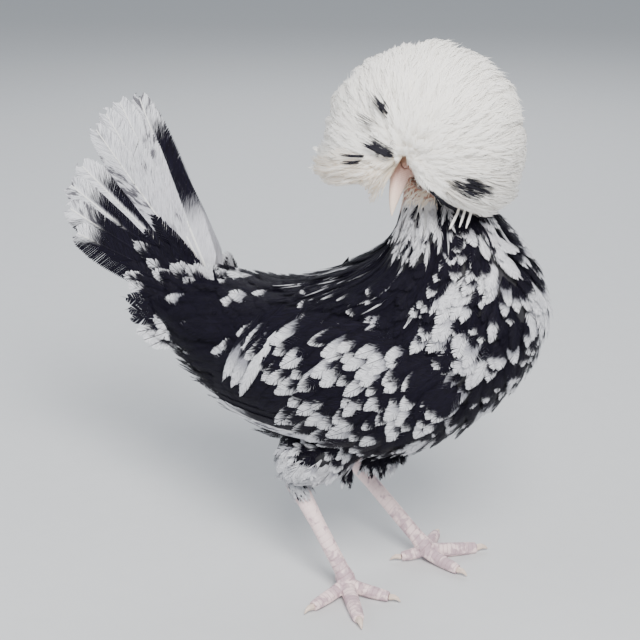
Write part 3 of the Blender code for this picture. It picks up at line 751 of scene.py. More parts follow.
def remeshed(name: str, sources: Iterable[Mesh], voxel: float, smoothing: int) -> Piece:
    """Fuses closed meshes into one even surface.

    Args:
        name: the new object's name.
        sources: the meshes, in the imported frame.
        voxel: the new surface's step.
        smoothing: how many times its steps are evened out.

    Returns:
        The fused object, linked to the scene.
    """
    shape = bmesh.new()
    for source in sources:
        shape.from_mesh(source)
    piece = linked(name, freed(name, shape))
    fuse = piece.modifiers.new("Fuse", "REMESH")
    fuse.mode = "VOXEL"
    fuse.voxel_size = voxel
    even = piece.modifiers.new("Even", "SMOOTH")
    even.factor = 0.5
    even.iterations = smoothing
    bpy.context.view_layer.update()
    graph = bpy.context.evaluated_depsgraph_get()
    result = bpy.data.meshes.new_from_object(piece.evaluated_get(graph))
    piece.modifiers.clear()
    piece.data = result
    result.name = name
    return piece


def horn_piece(node: str, voxel: float, smoothing: int, material: Material) -> None:
    """Makes one solid of beak or claw into a smooth piece, and dresses it.

    Args:
        node: the solid's name.
        voxel: the new surface's step.
        smoothing: how many times its steps are evened out.
        material: its material.
    """
    piece = remeshed(node + "_horn", [solid(node)], voxel, smoothing)
    piece.data.shade_smooth()
    carry(piece, "horn", material, node)


@dataclass
class Surface:
    """A smooth surface that feathers are laid on."""

    tree: BVHTree
    normals: np.ndarray
    corners: np.ndarray
    points: np.ndarray

    @classmethod
    def of(cls, piece: Piece) -> "Surface":
        """Reads an object's mesh.

        Args:
            piece: the object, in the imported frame.

        Returns:
            The surface.
        """
        mesh = piece.data
        mesh.calc_loop_triangles()
        corners = np.empty(len(mesh.loop_triangles) * 3, np.int32)
        mesh.loop_triangles.foreach_get("vertices", corners)
        corners = corners.reshape(-1, 3)
        points, normals = read_points(mesh)
        tree = BVHTree.FromPolygons(points.tolist(), corners.tolist())
        return cls(tree, normals, corners, points)

    def nearest(self, place: Vector) -> tuple[Vector, Vector]:
        """The nearest point of the surface and its smooth outward direction.

        Args:
            place: the place to start from.

        Returns:
            The point and the direction.
        """
        spot, _, face, _ = self.tree.find_nearest(place)
        near = self.corners[face]
        away = np.linalg.norm(self.points[near] - np.array(spot), axis=1) + 1e-5
        return spot, Vector((self.normals[near] / away[:, None]).sum(0)).normalized()

    def scatter(self, count: int, draw: np.random.Generator) -> np.ndarray:
        """Random points, even over the area.

        Args:
            count: how many.
            draw: the draw that they come from.

        Returns:
            The points, one row each.
        """
        first, second, third = (self.points[self.corners[:, k]] for k in range(3))
        area = np.linalg.norm(np.cross(second - first, third - first), axis=1)
        chosen = draw.choice(len(area), count, p=area / area.sum())
        a, b = np.sort(draw.random((2, count)), axis=0)
        nearer = first[chosen] * a[:, None] + second[chosen] * (b - a)[:, None]
        return nearer + third[chosen] * (1 - b)[:, None]


def thin_out(points: np.ndarray, spacing: Callable[[np.ndarray], float], cell: float = 0.012) -> list[Vector]:
    """Keeps points that are no nearer to each other than their spacing.

    Args:
        points: the points, in the order in which they are tried.
        spacing: the least distance at a point.
        cell: the step of the grid that neighbours are looked for in, over any spacing.

    Returns:
        The points that are kept.
    """
    grid: dict[tuple[int, int, int], list[np.ndarray]] = {}
    kept = []
    for point in points:
        home = tuple((point // cell).astype(int))
        near = [other for dx in (-1, 0, 1) for dy in (-1, 0, 1) for dz in (-1, 0, 1)
                for other in grid.get((home[0] + dx, home[1] + dy, home[2] + dz), ())]
        if near and np.min(np.linalg.norm(np.array(near) - point, axis=1)) < spacing(point):
            continue
        grid.setdefault(home, []).append(point)
        kept.append(Vector(point))
    return kept


@dataclass
class Flow:
    """The lie of the coat, blended by nearness from guides: a place ahead, out and up, and a direction."""

    anatomy: Anatomy
    guides: tuple[tuple[float, ...], ...] = (
        (0.112, 0.0, 0.215, -0.15, 0.0, -1.0), (0.095, 0.0, 0.165, -0.55, 0.0, -0.9),
        (0.050, 0.0, 0.120, -1.0, 0.0, -0.3), (-0.020, 0.0, 0.100, -1.0, 0.0, -0.1),
        (-0.085, 0.0, 0.108, -1.0, 0.0, 0.1), (-0.140, 0.0, 0.150, -0.9, 0.0, 0.1),
        (0.060, 0.060, 0.190, -0.75, 0.05, -0.65), (0.000, 0.072, 0.180, -1.0, 0.0, -0.35),
        (-0.060, 0.060, 0.190, -1.0, 0.0, -0.1), (0.000, 0.065, 0.240, -0.95, 0.15, -0.6),
        (0.070, 0.050, 0.250, -0.45, 0.25, -1.0), (-0.020, 0.0, 0.262, -1.0, 0.0, -0.35),
        (-0.080, 0.030, 0.235, -1.0, 0.12, -0.2), (-0.140, 0.030, 0.215, -1.0, 0.15, 0.05),
        (-0.175, 0.0, 0.215, -1.0, 0.0, 0.2), (0.000, 0.0, 0.310, -0.45, 0.0, -1.0),
        (0.015, 0.030, 0.310, -0.3, 0.35, -1.0), (0.036, 0.037, 0.300, 0.15, 0.10, -1.0),
        (0.060, 0.015, 0.310, 0.35, 0.15, -1.0), (0.100, 0.0, 0.270, 0.25, 0.0, -1.0),
        (-0.045, 0.040, 0.115, -0.55, 0.05, -0.85),
    )
    reach: float = 0.022
    places: np.ndarray = field(init=False)
    ways: np.ndarray = field(init=False)

    def __post_init__(self) -> None:
        """Mirrors the guides to both sides."""
        places, ways = [], []
        for x, y, z, ahead, out, up in self.guides:
            for side in Side:
                places.append(self.anatomy.at(x, y * side, z))
                ways.append(Vector((ahead, out * side, up)).normalized())
        self.places, self.ways = np.array(places), np.array(ways)

    def at(self, place: Vector) -> Vector:
        """The direction of the coat's lie at a place."""
        away = ((self.places - np.array(place)) ** 2).sum(1) + self.reach**2 / 4
        return Vector((self.ways / away[:, None] ** 2).sum(0)).normalized()


class Form(Enum):
    """The forms that a feather takes."""

    CONTOUR = "contour"
    COVERT = "covert"
    LANCE = "lance"
    PLUME = "plume"
    DOWN = "down"
    FLIGHT = "flight"


@dataclass(frozen=True)
class Template:
    """One feather's barbs, flat: across from -1 to 1 and along from 0 to 1."""

    points: np.ndarray
    triangles: np.ndarray

    @classmethod
    def make(cls, form: Form, seed: int) -> "Template":
        """Draws a feather as two rows of tapering barbs that leave the shaft.

        Args:
            form: the feather's form.
            seed: the draw's seed, for small differences between templates.

        Returns:
            The template.
        """
        barbs, start, width_power, tip_power, loose, tip_loose, slant, joints = {
            Form.CONTOUR: (20, 0.10, 0.55, 0.60, 0.34, 0.75, 0.26, (0.75,)),
            Form.COVERT: (30, 0.08, 0.50, 0.62, 0.12, 0.70, 0.22, (0.84,)),
            Form.LANCE: (20, 0.05, 0.50, 0.95, 0.35, 0.55, 0.24, (0.70,)),
            Form.PLUME: (17, 0.02, 0.40, 0.75, 0.95, 0.40, 0.62, (0.50,)),
            Form.DOWN: (10, 0.00, 0.30, 0.60, 1.00, 0.40, 0.50, (0.45,)),
            Form.FLIGHT: (72, 0.03, 0.35, 0.36, 0.03, 0.20, 0.12, (0.50, 0.92)),
        }[form]
        draw = random.Random(seed)
        points: list[tuple[float, float, float]] = []
        triangles: list[tuple[int, int, int]] = []

        def outline(share: float) -> float:
            """The vane's half width at a share of its length."""
            rise = min(1.0, (share + 0.06) / 0.42) ** width_power
            return rise * max(0.0, 1.0 - max(0.0, (share - 0.5) / 0.5) ** 2.4) ** tip_power + 0.02

        for side in Side:
            split = 0.0
            for j in range(barbs):
                roots = [start + (0.97 - start) * k / barbs for k in (j, j + 1)]
                root_low, root_high = roots
                end_low, end_high = (root + slant * (1 - root) ** 0.8 + 0.02 for root in roots)
                ragged = loose + tip_loose * max(0.0, (root_low - 0.65) / 0.35)
                if draw.random() < 0.16:
                    split = draw.uniform(-1.0, 1.0) * ragged * 0.06
                reach = 1.0 - ragged * draw.uniform(0.0, 0.45)
                lift = draw.uniform(-0.5, 0.5) * ragged * 0.12
                base = len(points)
                points += [(0.0, root_low, 0.0), (0.0, root_high, 0.0)]
                for joint in joints:
                    narrow = 0.03 + ragged * 0.30 * joint
                    low = root_low + (end_low - root_low) * joint
                    high = root_high + (end_high - root_high) * joint
                    middle = (low + high) / 2 + split * joint
                    half = (high - low) / 2 * (1 - narrow)
                    for along in (middle - half, middle + half):
                        points.append((side * outline(along) * joint * reach, along, lift * joint))
                end = (end_low + end_high) / 2 + split + draw.uniform(-0.3, 0.7) * ragged * 0.06
                points.append((side * outline(min(end, 1.0)) * reach * 1.04, end, lift))
                faces = []
                for k in range(len(joints)):
                    a = base + 2 * k
                    faces += [(a, a + 2, a + 3), (a, a + 3, a + 1)]
                last = base + 2 * len(joints)
                faces.append((last, last + 2, last + 1))
                triangles += [face if side > 0 else face[::-1] for face in faces]
        return cls(np.array(points), np.array(triangles))


@dataclass
class Plumes:
    """Feathers of one form that become one mesh piece."""

    name: str
    form: Form
    steps: int
    cup: float = 0.18
    variants: int = 5
    most_triangles: int = 185000
    island: float = 0.003
    feathers: list[tuple[Any, ...]] = field(default_factory=list)

    def add(self, path: list[Vector], ups: list[Vector], width: float, mark: Mark,
            root: Pair) -> None:
        """Adds one feather.

        Args:
            path: points along its shaft, `steps` of them.
            ups: its outer face's direction at each.
            width: half its greatest width.
            mark: its marking, for the material.
            root: where it grows on the unwrapped skin.
        """
        self.feathers.append((path, ups, width, mark, root))

    def build(self) -> list[Piece]:
        """Makes the meshes, as many as keep each under the most triangles."""
        templates = [Template.make(self.form, 100 * len(self.name) + k) for k in range(self.variants)]
        total = len(self.feathers)
        parts = 1 + total * len(templates[0].triangles) // self.most_triangles
        pieces = []
        for part in range(parts):
            chosen = self.feathers[part * total // parts:(part + 1) * total // parts]
            name = self.name if parts == 1 else f"{self.name}_{part + 1}"
            pieces.append(self.piece(name, chosen, templates))
        return pieces

    def piece(self, name: str, chosen: list[tuple[Any, ...]], templates: list[Template]) -> Piece:
        """Makes one mesh, with its vane and bake maps, marks and smooth vane normals.

        Args:
            name: the piece's name.
            chosen: the feathers that it holds.
            templates: the feathers' shapes, taken in turn.

        Returns:
            The piece.
        """
        paths, ups, widths, marks, roots = (np.array(values, dtype=float) for values in zip(*chosen))
        ahead = np.gradient(paths, axis=1)
        ahead /= np.linalg.norm(ahead, axis=2, keepdims=True) + 1e-12
        across = np.cross(ahead, ups)
        across /= np.linalg.norm(across, axis=2, keepdims=True) + 1e-12
        ups = np.cross(across, ahead)
        blocks: list[tuple[np.ndarray, ...]] = []
        filled = 0
        for k, template in enumerate(templates):
            kind = np.arange(k, len(paths), len(templates))
            side, along, lift = template.points.T
            spot = np.clip(along, 0, 1) * (self.steps - 1)
            low = np.minimum(spot.astype(int), self.steps - 2)
            share = (spot - low)[None, :, None]

            def at(values: np.ndarray) -> np.ndarray:
                """The values at each template point, for the feathers of this kind."""
                return values[kind][:, low] * (1 - share) + values[kind][:, low + 1] * share

            middle, out, way = at(paths), at(ups), at(across)
            length = np.linalg.norm(paths[kind][:, -1] - paths[kind][:, -2], axis=1) * (self.steps - 1)
            beyond = np.maximum(along - 1, 0)[None, :, None] * length[:, None, None] * at(ahead)
            wide = widths[kind][:, None, None]
            shift = way * side[None, :, None] * wide
            drop = out * (lift[None, :, None] - self.cup * side[None, :, None] ** 2) * wide
            points = middle + beyond + shift + drop
            normal = out + way * (2 * self.cup * side)[None, :, None]
            normal /= np.linalg.norm(normal, axis=2, keepdims=True)
            count = len(side)
            triangles = template.triangles[None] + (filled + count * np.arange(len(kind)))[:, None, None]
            vane = np.broadcast_to(np.stack([side * 0.5 + 0.5, along], 1), (len(kind), count, 2))
            bake = roots[kind][:, None] + (np.stack([side * 0.5, along - 0.5], 1) * self.island)[None]
            mark = np.broadcast_to(marks[kind][:, None], (len(kind), count, 4))
            blocks.append(tuple(part.reshape(-1, part.shape[-1]) for part in
                                (points, triangles, normal, vane, bake, mark)))
            filled += count * len(kind)
        points, triangles, normals, vane, bake, mark = (np.concatenate(parts) for parts in zip(*blocks))
        piece = mesh_piece(name, points, triangles)
        mesh = piece.data
        for layer_name, values in (("OFBake", bake), ("Vane", vane)):
            layer = mesh.uv_layers.new(name=layer_name)
            layer.uv.foreach_set("vector", values[triangles.ravel()].astype(np.float32).ravel())
        write_marks(mesh, mark)
        mesh.shade_smooth()
        mesh.normals_split_custom_set_from_vertices(normals.tolist())
        return piece


@dataclass(frozen=True)
class Patch:
    """A spot by where it shows in the photograph, its radius and its strength.

    The radius is in metres for the coat's patches, in pixels for the crest's dark spots and stains,
    and in radians for its locks. The strength is how much whiter or darker a patch is, or by what
    share of the crest's reach a lock stands out.
    """

    pixel: Pair
    radius: float
    strength: float


def patches_of(*rows: tuple[float, float, float, float], per_unit: float = 1.0) -> tuple[Patch, ...]:
    """Patches from rows of column, row, radius in parts of its unit, and strength."""
    return tuple(Patch((column, row), radius / per_unit, strength) for column, row, radius, strength in rows)


@dataclass
class Markings:
    """Where the coat is white: named patches on the side that shows, like ones on the other."""

    anatomy: Anatomy
    studio: Studio
    surface: Surface
    patches: tuple[Patch, ...] = patches_of(
        (420, 238, 8, 0.9), (452, 216, 7, 0.5), (487, 235, 14, 1.0), (500, 252, 16, 1.1),
        (509, 271, 14, 1.0), (541, 303, 10, 1.1), (544, 320, 10, 1.1), (415, 442, 15, 1.2),
        (232, 277, 9, 1.2), (246, 280, 8, 1.1), (203, 362, 8, 1.0), (217, 311, 8, 1.0),
        (237, 302, 8, 0.9), (222, 347, 10, 1.1), (262, 297, 7, 0.9), (284, 291, 7, 0.9),
        (325, 304, 8, 0.9), (345, 294, 7, 0.9), (178, 297, 8, 0.9), (192, 320, 8, 0.9),
        (470, 243, 9, 0.9), (512, 236, 12, 0.9), (480, 253, 8, 0.9), (461, 263, 7, 0.9),
        (487, 281, 9, 1.0), (437, 297, 7, 0.9), (445, 311, 11, 1.1), (463, 303, 11, 1.1),
        (438, 329, 10, 1.0), (484, 298, 6, 0.8), (504, 301, 9, 0.9), (546, 312, 12, 1.1),
        (530, 328, 6, 0.8), (487, 325, 6, 0.8), (422, 341, 8, 0.8), (463, 346, 12, 1.0),
        (470, 373, 14, 1.1), (497, 362, 9, 0.9), (533, 356, 7, 0.9), (505, 388, 9, 0.8),
        (442, 385, 9, 0.9), (374, 348, 17, 1.1), (399, 302, 6, 0.7), (415, 300, 5, 0.6),
        (430, 408, 10, 0.9), (400, 415, 10, 0.9), (455, 405, 10, 0.9), (462, 425, 10, 0.9),
        (420, 443, 12, 1.0), (350, 448, 9, 0.9), (335, 458, 10, 0.8), (388, 438, 6, 0.6),
        (485, 415, 8, 0.6), (478, 267, 6, -1.0), (440, 268, 16, -0.9), (405, 280, 16, -0.6),
        (340, 300, 35, -0.5), (528, 283, 9, -0.6), (508, 330, 13, -0.6), (470, 322, 5, -0.5),
        (425, 367, 12, -0.6), (390, 455, 12, -0.5), (533, 304, 13, 1.2), (535, 317, 13, 1.2),
        per_unit=MILLIMETRES,
    )
    jump: float = 0.012
    seed: int = 5
    centres: np.ndarray = field(init=False)
    values: np.ndarray = field(init=False)

    def __post_init__(self) -> None:
        """Casts each patch on the skin and mirrors it, a little moved, to the far side."""
        centres, values = [], []
        draw = random.Random(self.seed)
        for patch in self.patches:
            spot = self.surface.tree.ray_cast(*self.studio.ray(patch.pixel))[0]
            if spot is None:
                continue
            jump = Vector((draw.uniform(-self.jump, self.jump), 0.0, draw.uniform(-self.jump, self.jump)))
            centres += [spot, Vector((spot.x, -spot.y, spot.z)) + jump]
            values += [(patch.radius, patch.strength)] * 2
        self.centres, self.values = np.array(centres), np.array(values)

    def reach(self, place: Vector, draw: random.Random, flecks: float) -> float:
        """How far white reaches down a feather whose end is at a place.

        Args:
            place: the feather's end.
            draw: the draw for its own difference.
            flecks: the share of black feathers that have a small white tip.

        Returns:
            The share of the feather that is white, over 1 where all of it is.
        """
        ground = self.at(place) + draw.uniform(-0.10, 0.10)
        fleck = draw.uniform(0.08, 0.20) if draw.random() < flecks else 0.0
        full = clamp((ground - 0.30) / 0.30)
        if full == 0 or draw.random() < 0.35 * (1.15 - ground):
            return fleck
        white = eased(full) * (draw.uniform(0.14, 0.48) + max(0.0, ground - 0.85))
        return white if white > 0.08 else fleck

    def at(self, place: Vector) -> float:
        """How white the coat is at a place, from black near 0 to all white over 1.

        Args:
            place: the place, packed.

        Returns:
            The whiteness.
        """
        bird = place - self.anatomy.shift
        broad = noise.noise(bird * 52.0)
        fine = noise.noise(bird * 105.0 + Vector((7.0, 3.0, 1.0)))
        breast = clamp((bird.x + 0.01) / 0.06)
        ground = 0.06 + 0.27 * breast + (0.50 * broad + 0.30 * fine) * (0.30 + 0.70 * breast)
        away = ((self.centres - np.array(place)) ** 2).sum(1) / self.values[:, 0] ** 2
        return ground + float((self.values[:, 1] * np.exp(-1.6 * away**1.5)).sum())


@dataclass
class Skin:
    """The skins of the head and of the feathered body, which is inside its solids by the coat's depth."""

    anatomy: Anatomy
    coat_depth: float = COAT_DEPTH
    body_voxel: float = 0.0026
    head_voxel: float = 0.0007
    ring_points: int = 24
    rump: tuple[tuple[float, ...], ...] = (
        (-0.2096, 0.2275, -0.2144, 0.2165, 0.006),
        (-0.1895, 0.2295, -0.2041, 0.1957, 0.018),
        (-0.1575, 0.2310, -0.1815, 0.1696, 0.033),
        (-0.1306, 0.2305, -0.1568, 0.1484, 0.044),
        (-0.1080, 0.2300, -0.1300, 0.1320, 0.052),
    )

    def rump_mesh(self) -> Mesh:
        """The rump: rings with a half width, each from a point of the back to one of the underside."""
        rings = []
        for back_x, back_z, low_x, low_z, wide in self.rump:
            back, low = self.anatomy.at(back_x, 0.0, back_z), self.anatomy.at(low_x, 0.0, low_z)
            middle = back.lerp(low, 0.47)
            ring = []
            for k in range(self.ring_points):
                angle = math.tau * k / self.ring_points
                end = (back if math.cos(angle) > 0 else low) - middle
                ring.append(middle + end * abs(math.cos(angle)) + Vector((0.0, math.sin(angle) * wide, 0.0)))
            rings.append(ring)
        return ring_loft("rump", rings)

    def body(self) -> Piece:
        """The feathered body's skin: torso, neck, rump and thighs in one, sunk by the coat's depth."""
        nodes = ("torso", "neck", "thigh_left", "thigh_right")
        sources = [solid(name) for name in nodes] + [self.rump_mesh()]
        piece = remeshed("body_skin", sources, self.body_voxel, 10)
        points, normals = read_points(piece.data)
        piece.data.vertices.foreach_set("co", (points - normals * self.coat_depth).ravel())
        piece.data.update()
        return piece

    def head(self) -> Piece:
        """The head's skin with its lids, nostril domes, lobes and wattles."""
        return remeshed("head_skin", [solid("head")], self.head_voxel, 6)


class Region(Enum):
    """The regions of the body by how feathers grow there."""

    THIGH = "thigh"
    VENT = "vent"
    THROAT = "throat"
    HACKLE = "hackle"
    NECK = "neck"
    BACK = "back"
    BREAST = "breast"


@dataclass(frozen=True)
class Growth:
    """How feathers grow in a region: gap, lengths and half widths in metres, lifts in coat depths.

    The sway is in radians off the coat's lie, and the flecks are the share of small white tips.
    """

    piece: str
    gap: float
    lengths: Pair
    widths: Pair
    lifts: Pair
    sway: float
    flecks: float


GROWTHS = {
    Region.THIGH: Growth("fluff", 0.0044, (0.018, 0.027), (0.0050, 0.0070), (0.9, 1.6), 0.25, 0.1),
    Region.VENT: Growth("fluff", 0.0056, (0.022, 0.032), (0.0055, 0.0080), (0.9, 1.4), 0.20, 0.1),
    Region.THROAT: Growth("fluff", 0.0032, (0.016, 0.028), (0.0026, 0.0042), (0.9, 1.7), 0.16, 0.2),
    Region.HACKLE: Growth("hackle", 0.0038, (0.045, 0.068), (0.0022, 0.0036), (0.6, 1.1), 0.10, 0.10),
    Region.NECK: Growth("contour", 0.0052, (0.021, 0.030), (0.0044, 0.0060), (0.7, 1.3), 0.22, 0.30),
    Region.BACK: Growth("contour", 0.0064, (0.025, 0.033), (0.0060, 0.0080), (0.7, 1.1), 0.12, 0.10),
    Region.BREAST: Growth("contour", 0.0066, (0.023, 0.033), (0.0054, 0.0076), (0.7, 1.3), 0.20, 0.42),
}


@dataclass
class Coat:
    """The body's contour feathers and hackle, down on throat, legs and vent, and stubs on the bare face.

    The windows are outlines over the photograph: the beak's, which no feather covers, and the
    throat's, which only the throat's down covers. Spans run ahead, from the tail's side.
    """

    anatomy: Anatomy
    flow: Flow
    markings: Markings
    surface: Surface
    studio: Studio
    depth: float = COAT_DEPTH
    beak_window: Window = (
        (376, 158), (400, 158), (409, 168), (420, 180), (433, 194), (438, 201), (420, 200), (405, 200),
        (400, 212), (397, 224), (388, 238), (376, 226),
    )
    throat_window: Window = (
        (398, 196), (438, 196), (439, 210), (430, 228), (427, 256), (414, 250), (399, 240), (396, 212),
    )
    throat_middle: Vector = fixed(0.035, -0.037, 0.309)
    throat_reach: float = 0.0195
    thigh_top: float = 0.128
    thigh_span: Pair = (-0.075, -0.005)
    thigh_inside: float = 0.012
    hackle_low: float = 0.246
    hackle_slope: float = 0.75
    hackle_span: Pair = (-0.045, 0.055)
    neck_low: float = 0.262
    neck_behind: float = 0.040
    vent_ahead: float = -0.075
    vent_top: float = 0.17
    vent_half: float = 0.045
    back_ahead: Pair = (-0.04, 0.02)
    back_low: float = 0.235
    shaggy_below: float = 0.110
    shaggy: float = 1.45
    rump_ahead: float = -0.095
    rump_heights: Pair = (0.125, 0.205)
    rump_longer: float = 1.35
    rounds: Pair = (-0.4, 1.0)
    scattered: int = 70000
    sunk: float = -0.001
    flat: float = 0.0008
    stub_count: int = 240
    stub_columns: Pair = (403, 436)
    stub_rows: Pair = (168, 202)
    stub_line: Window = ((432.0, 172.0), (404.0, 212.0))
    cuff_count: int = 220
    cuff_height: float = 0.088
    cuff_radius: float = 0.0060
    tuft_count: int = 110
    tuft_height: float = 0.095
    seed: int = 21

    def unwrap(self, place: Vector) -> Pair:
        """A place's spot on an unwrap of the body round its long axis.

        Args:
            place: the place, packed.

        Returns:
            The spot, each part from 0 to 1.
        """
        bird = place - self.anatomy.shift
        rise = bird.z - (0.185 + 0.45 * max(0.0, bird.x + 0.05))
        around = math.atan2(bird.y, rise) / math.tau + 0.5
        along = clamp((bird.x * 0.75 + bird.z * 0.6 + 0.06) / 0.32)
        return 0.02 + 0.96 * along, 0.02 + 0.96 * around

    def lay(self, root: Vector, length: float, steps: int, high: float,
            sway: float) -> tuple[list[Vector], list[Vector]]:
        """Leads a feather along the skin.

        Args:
            root: where it grows.
            length: its length.
            steps: how many points its path has.
            high: its tip's height over the skin.
            sway: an angle off the coat's lie.

        Returns:
            Its path and outward directions.
        """
        spot, up = self.surface.nearest(root)
        path, ups = [], []
        for share in even_shares(steps):
            path.append(spot + up * (self.sunk + (high - self.sunk) * share**0.8))
            ups.append(up)
            way = Matrix.Rotation(sway, 3, up) @ self.flow.at(spot)
            way = (way - up * way.dot(up)).normalized()
            spot, up = self.surface.nearest(spot + way * (length / (steps - 1)))
        return path, ups

    def region(self, place: Sequence[float]) -> Region:
        """The region of the body that a place is in.

        Args:
            place: the place, packed.

        Returns:
            The region, the first whose limits hold.
        """
        bird = Vector(place) - self.anatomy.shift
        behind, ahead = self.thigh_span
        if bird.z < self.thigh_top and abs(bird.y) > self.thigh_inside and behind < bird.x < ahead:
            return Region.THIGH
        if (bird - self.throat_middle).length < self.throat_reach:
            return Region.THROAT
        behind, ahead = self.hackle_span
        if bird.z > self.hackle_low + max(0.0, bird.x) * self.hackle_slope and behind < bird.x < ahead:
            return Region.HACKLE
        if bird.z > self.neck_low and bird.x > self.neck_behind:
            return Region.NECK
        if bird.x < self.vent_ahead and bird.z < self.vent_top and abs(bird.y) < self.vent_half:
            return Region.VENT
        low_ahead, high_ahead = self.back_ahead
        if bird.x < low_ahead or (bird.x < high_ahead and bird.z > self.back_low):
            return Region.BACK
        return Region.BREAST

    def build(self) -> list[Piece]:
        """Grows the coat and returns its pieces."""
        draw = random.Random(self.seed)
        points = self.surface.scatter(self.scattered, np.random.default_rng(self.seed))
        contour = Plumes("body_feathers", Form.CONTOUR, 5)
        hackle = Plumes("hackle_feathers", Form.LANCE, 7, cup=0.3)
        fluff = Plumes("leg_and_vent_fluff", Form.DOWN, 5, cup=0.1)
        pieces = {"contour": contour, "hackle": hackle, "fluff": fluff}
        for root in thin_out(points, lambda place: GROWTHS[self.region(place)].gap):
            region = self.region(root)
            growth = GROWTHS[region]
            plumes, lifts = pieces[growth.piece], growth.lifts
            length = draw.uniform(*growth.lengths)
            bird = Vector(root) - self.anatomy.shift
            if region is Region.THIGH and bird.z < self.shaggy_below:
                length *= self.shaggy
            if bird.x < self.rump_ahead and self.rump_heights[0] < bird.z < self.rump_heights[1]:
                length *= self.rump_longer
                lifts = (lifts[0] * 1.5, lifts[1] * 2.0)
            high, turn = self.depth * draw.uniform(*lifts), draw.gauss(0.0, growth.sway)
            path, ups = self.lay(root, length, plumes.steps, high, turn)
            reach, width = self.markings.reach(path[-2], draw, growth.flecks), draw.uniform(*growth.widths)
            if region is Region.THIGH:
                pale = min(1.2, (self.thigh_top - bird.z) / 0.012)
                reach = max(reach, pale + draw.uniform(-0.3, 0.3))
            if region is Region.THROAT:
                reach = draw.choice((0.15, 0.3, 0.8, 0.95, 1.1, 1.2))
            if region is Region.HACKLE:
                reach = min(reach, draw.choice((0.12, 0.25, 0.4)))
                if draw.random() < 0.16:
                    reach, width = draw.uniform(0.2, 0.8), 0.0011
            mark = (max(0.0, reach), draw.uniform(*self.rounds), draw.random(), draw.choice((0.0, 0.0, 0.5)))
            windows: tuple[Window, ...] = (self.beak_window,)
            if region is not Region.THROAT:
                windows = (self.beak_window, self.throat_window)
                if self.shown(path, ups, -0.8, self.beak_window):
                    path, ups = self.lay(root, length, plumes.steps, self.flat, turn)
            if not any(self.shown(path, ups, 0.0, window) for window in windows):
                plumes.add(path, ups, width, mark, self.unwrap(root))
        self.hang(fluff, draw)
        return contour.build() + hackle.build() + fluff.build()

    def shown(self, path: list[Vector], ups: list[Vector], least: float, window: Window) -> bool:
        """Whether a feather shows in a window where its face turns to the camera by more than the least."""
        seen = [place for place, up in zip(path, ups) if up.dot(self.studio.back()) > least]
        return any(self.studio.covers(place, window) for place in seen)

    def hang(self, fluff: Plumes, draw: random.Random) -> None:
        """Hangs pale down over the top of each shank, and dark down from the belly ahead of it.

        Args:
            fluff: the down that it joins.
            draw: the coat's draw.
        """
        shares = even_shares(fluff.steps)
        for side in Side:
            hock = self.anatomy.hock(side, self.cuff_height)
            down = (self.anatomy.ankle(side) - hock).normalized()
            for _ in range(self.cuff_count):
                around = draw.uniform(0, math.tau)
                out = Vector((math.cos(around), math.sin(around), 0.0))
                out = (out - down * out.dot(down)).normalized()
                start = hock + down * draw.uniform(-0.008, 0.004) + out * self.cuff_radius
                length = draw.uniform(0.010, 0.018)
                path = [start + down * length * t + out * 0.0030 * math.sqrt(t) for t in shares]
                white = draw.choice((0.0, 0.3, 0.6, 0.9, 1.2, 1.2))
                fluff.add(path, [out] * len(path), draw.uniform(0.0018, 0.0030),
                          (white, draw.uniform(*self.rounds), draw.random(), 0.0), self.unwrap(start))
            for _ in range(self.tuft_count):
                start, up = self.surface.nearest(self.anatomy.at(
                    draw.uniform(-0.010, 0.018), side * draw.uniform(0.004, 0.036), self.tuft_height))
                way = Vector((draw.uniform(-0.5, 0.1), draw.uniform(-0.2, 0.2), -1.0)).normalized()
                length = draw.uniform(0.010, 0.021)
                path = [start + way * length * t + up * 0.003 * math.sqrt(t) for t in shares]
                out = Vector((0.0, side, 0.3)).normalized()
                white = draw.choice((0.0, 0.0, 0.0, 0.1, 0.3, 0.5))
                fluff.add(path, [out] * len(path), draw.uniform(0.0026, 0.0044),
                          (white, draw.uniform(*self.rounds), draw.random(), 0.0), self.unwrap(start))

    def under(self, place: Vector) -> float:
        """How pale the skin is under the coat at a place."""
        if self.region(place) is Region.THROAT:
            return 1.0
        return clamp(self.markings.at(place) * 1.2) * 0.025

    def bare(self, place: Vector) -> float:
        """How far a place on the skin belongs to the bare face, 0 or 1."""
        facing = self.surface.nearest(place)[1].dot(self.studio.back())
        return float(facing > 0 and self.studio.covers(place, self.beak_window))

    def stubs(self, surfaces: Sequence[Surface]) -> list[Piece]:
        """Grows the short ochre stubs on the bare face beside the beak.

        Args:
            surfaces: the skins that the face is part of.

        Returns:
            Their piece.
        """
        stubs = Plumes("face_stubs", Form.LANCE, 4, cup=0.2)
        draw = random.Random(self.seed)
        left, right = (self.studio.ray(pixel)[1] for pixel in self.stub_line)
        lie = (right - left).normalized()
        for _ in range(self.stub_count):
            pixel = (draw.uniform(*self.stub_columns), draw.uniform(*self.stub_rows))
            eye, way = self.studio.ray(pixel)
            hits = [surface.tree.ray_cast(eye, way) for surface in surfaces]
            hits = [hit for hit in hits if hit[0] is not None]
            if not hits:
                continue
            spot, up = min(hits, key=lambda hit: hit[3])[:2]
            if not self.studio.covers(spot, self.beak_window):
                continue
            ahead = Matrix.Rotation(draw.gauss(0.0, 0.45), 3, up) @ (lie - up * lie.dot(up)).normalized()
            length = draw.uniform(0.004, 0.008)
            steps = range(stubs.steps)
            path = [spot + ahead * (length * k / 3) + up * (0.0016 * k / 3) for k in steps]
            ochre = draw.choice((0.3, 0.8, 1.0))
            stubs.add(path, [up] * len(path), draw.uniform(0.0004, 0.0008),
                      (0.0, ochre, draw.random(), 0.5), (draw.random(), 0.5))
        return stubs.build()


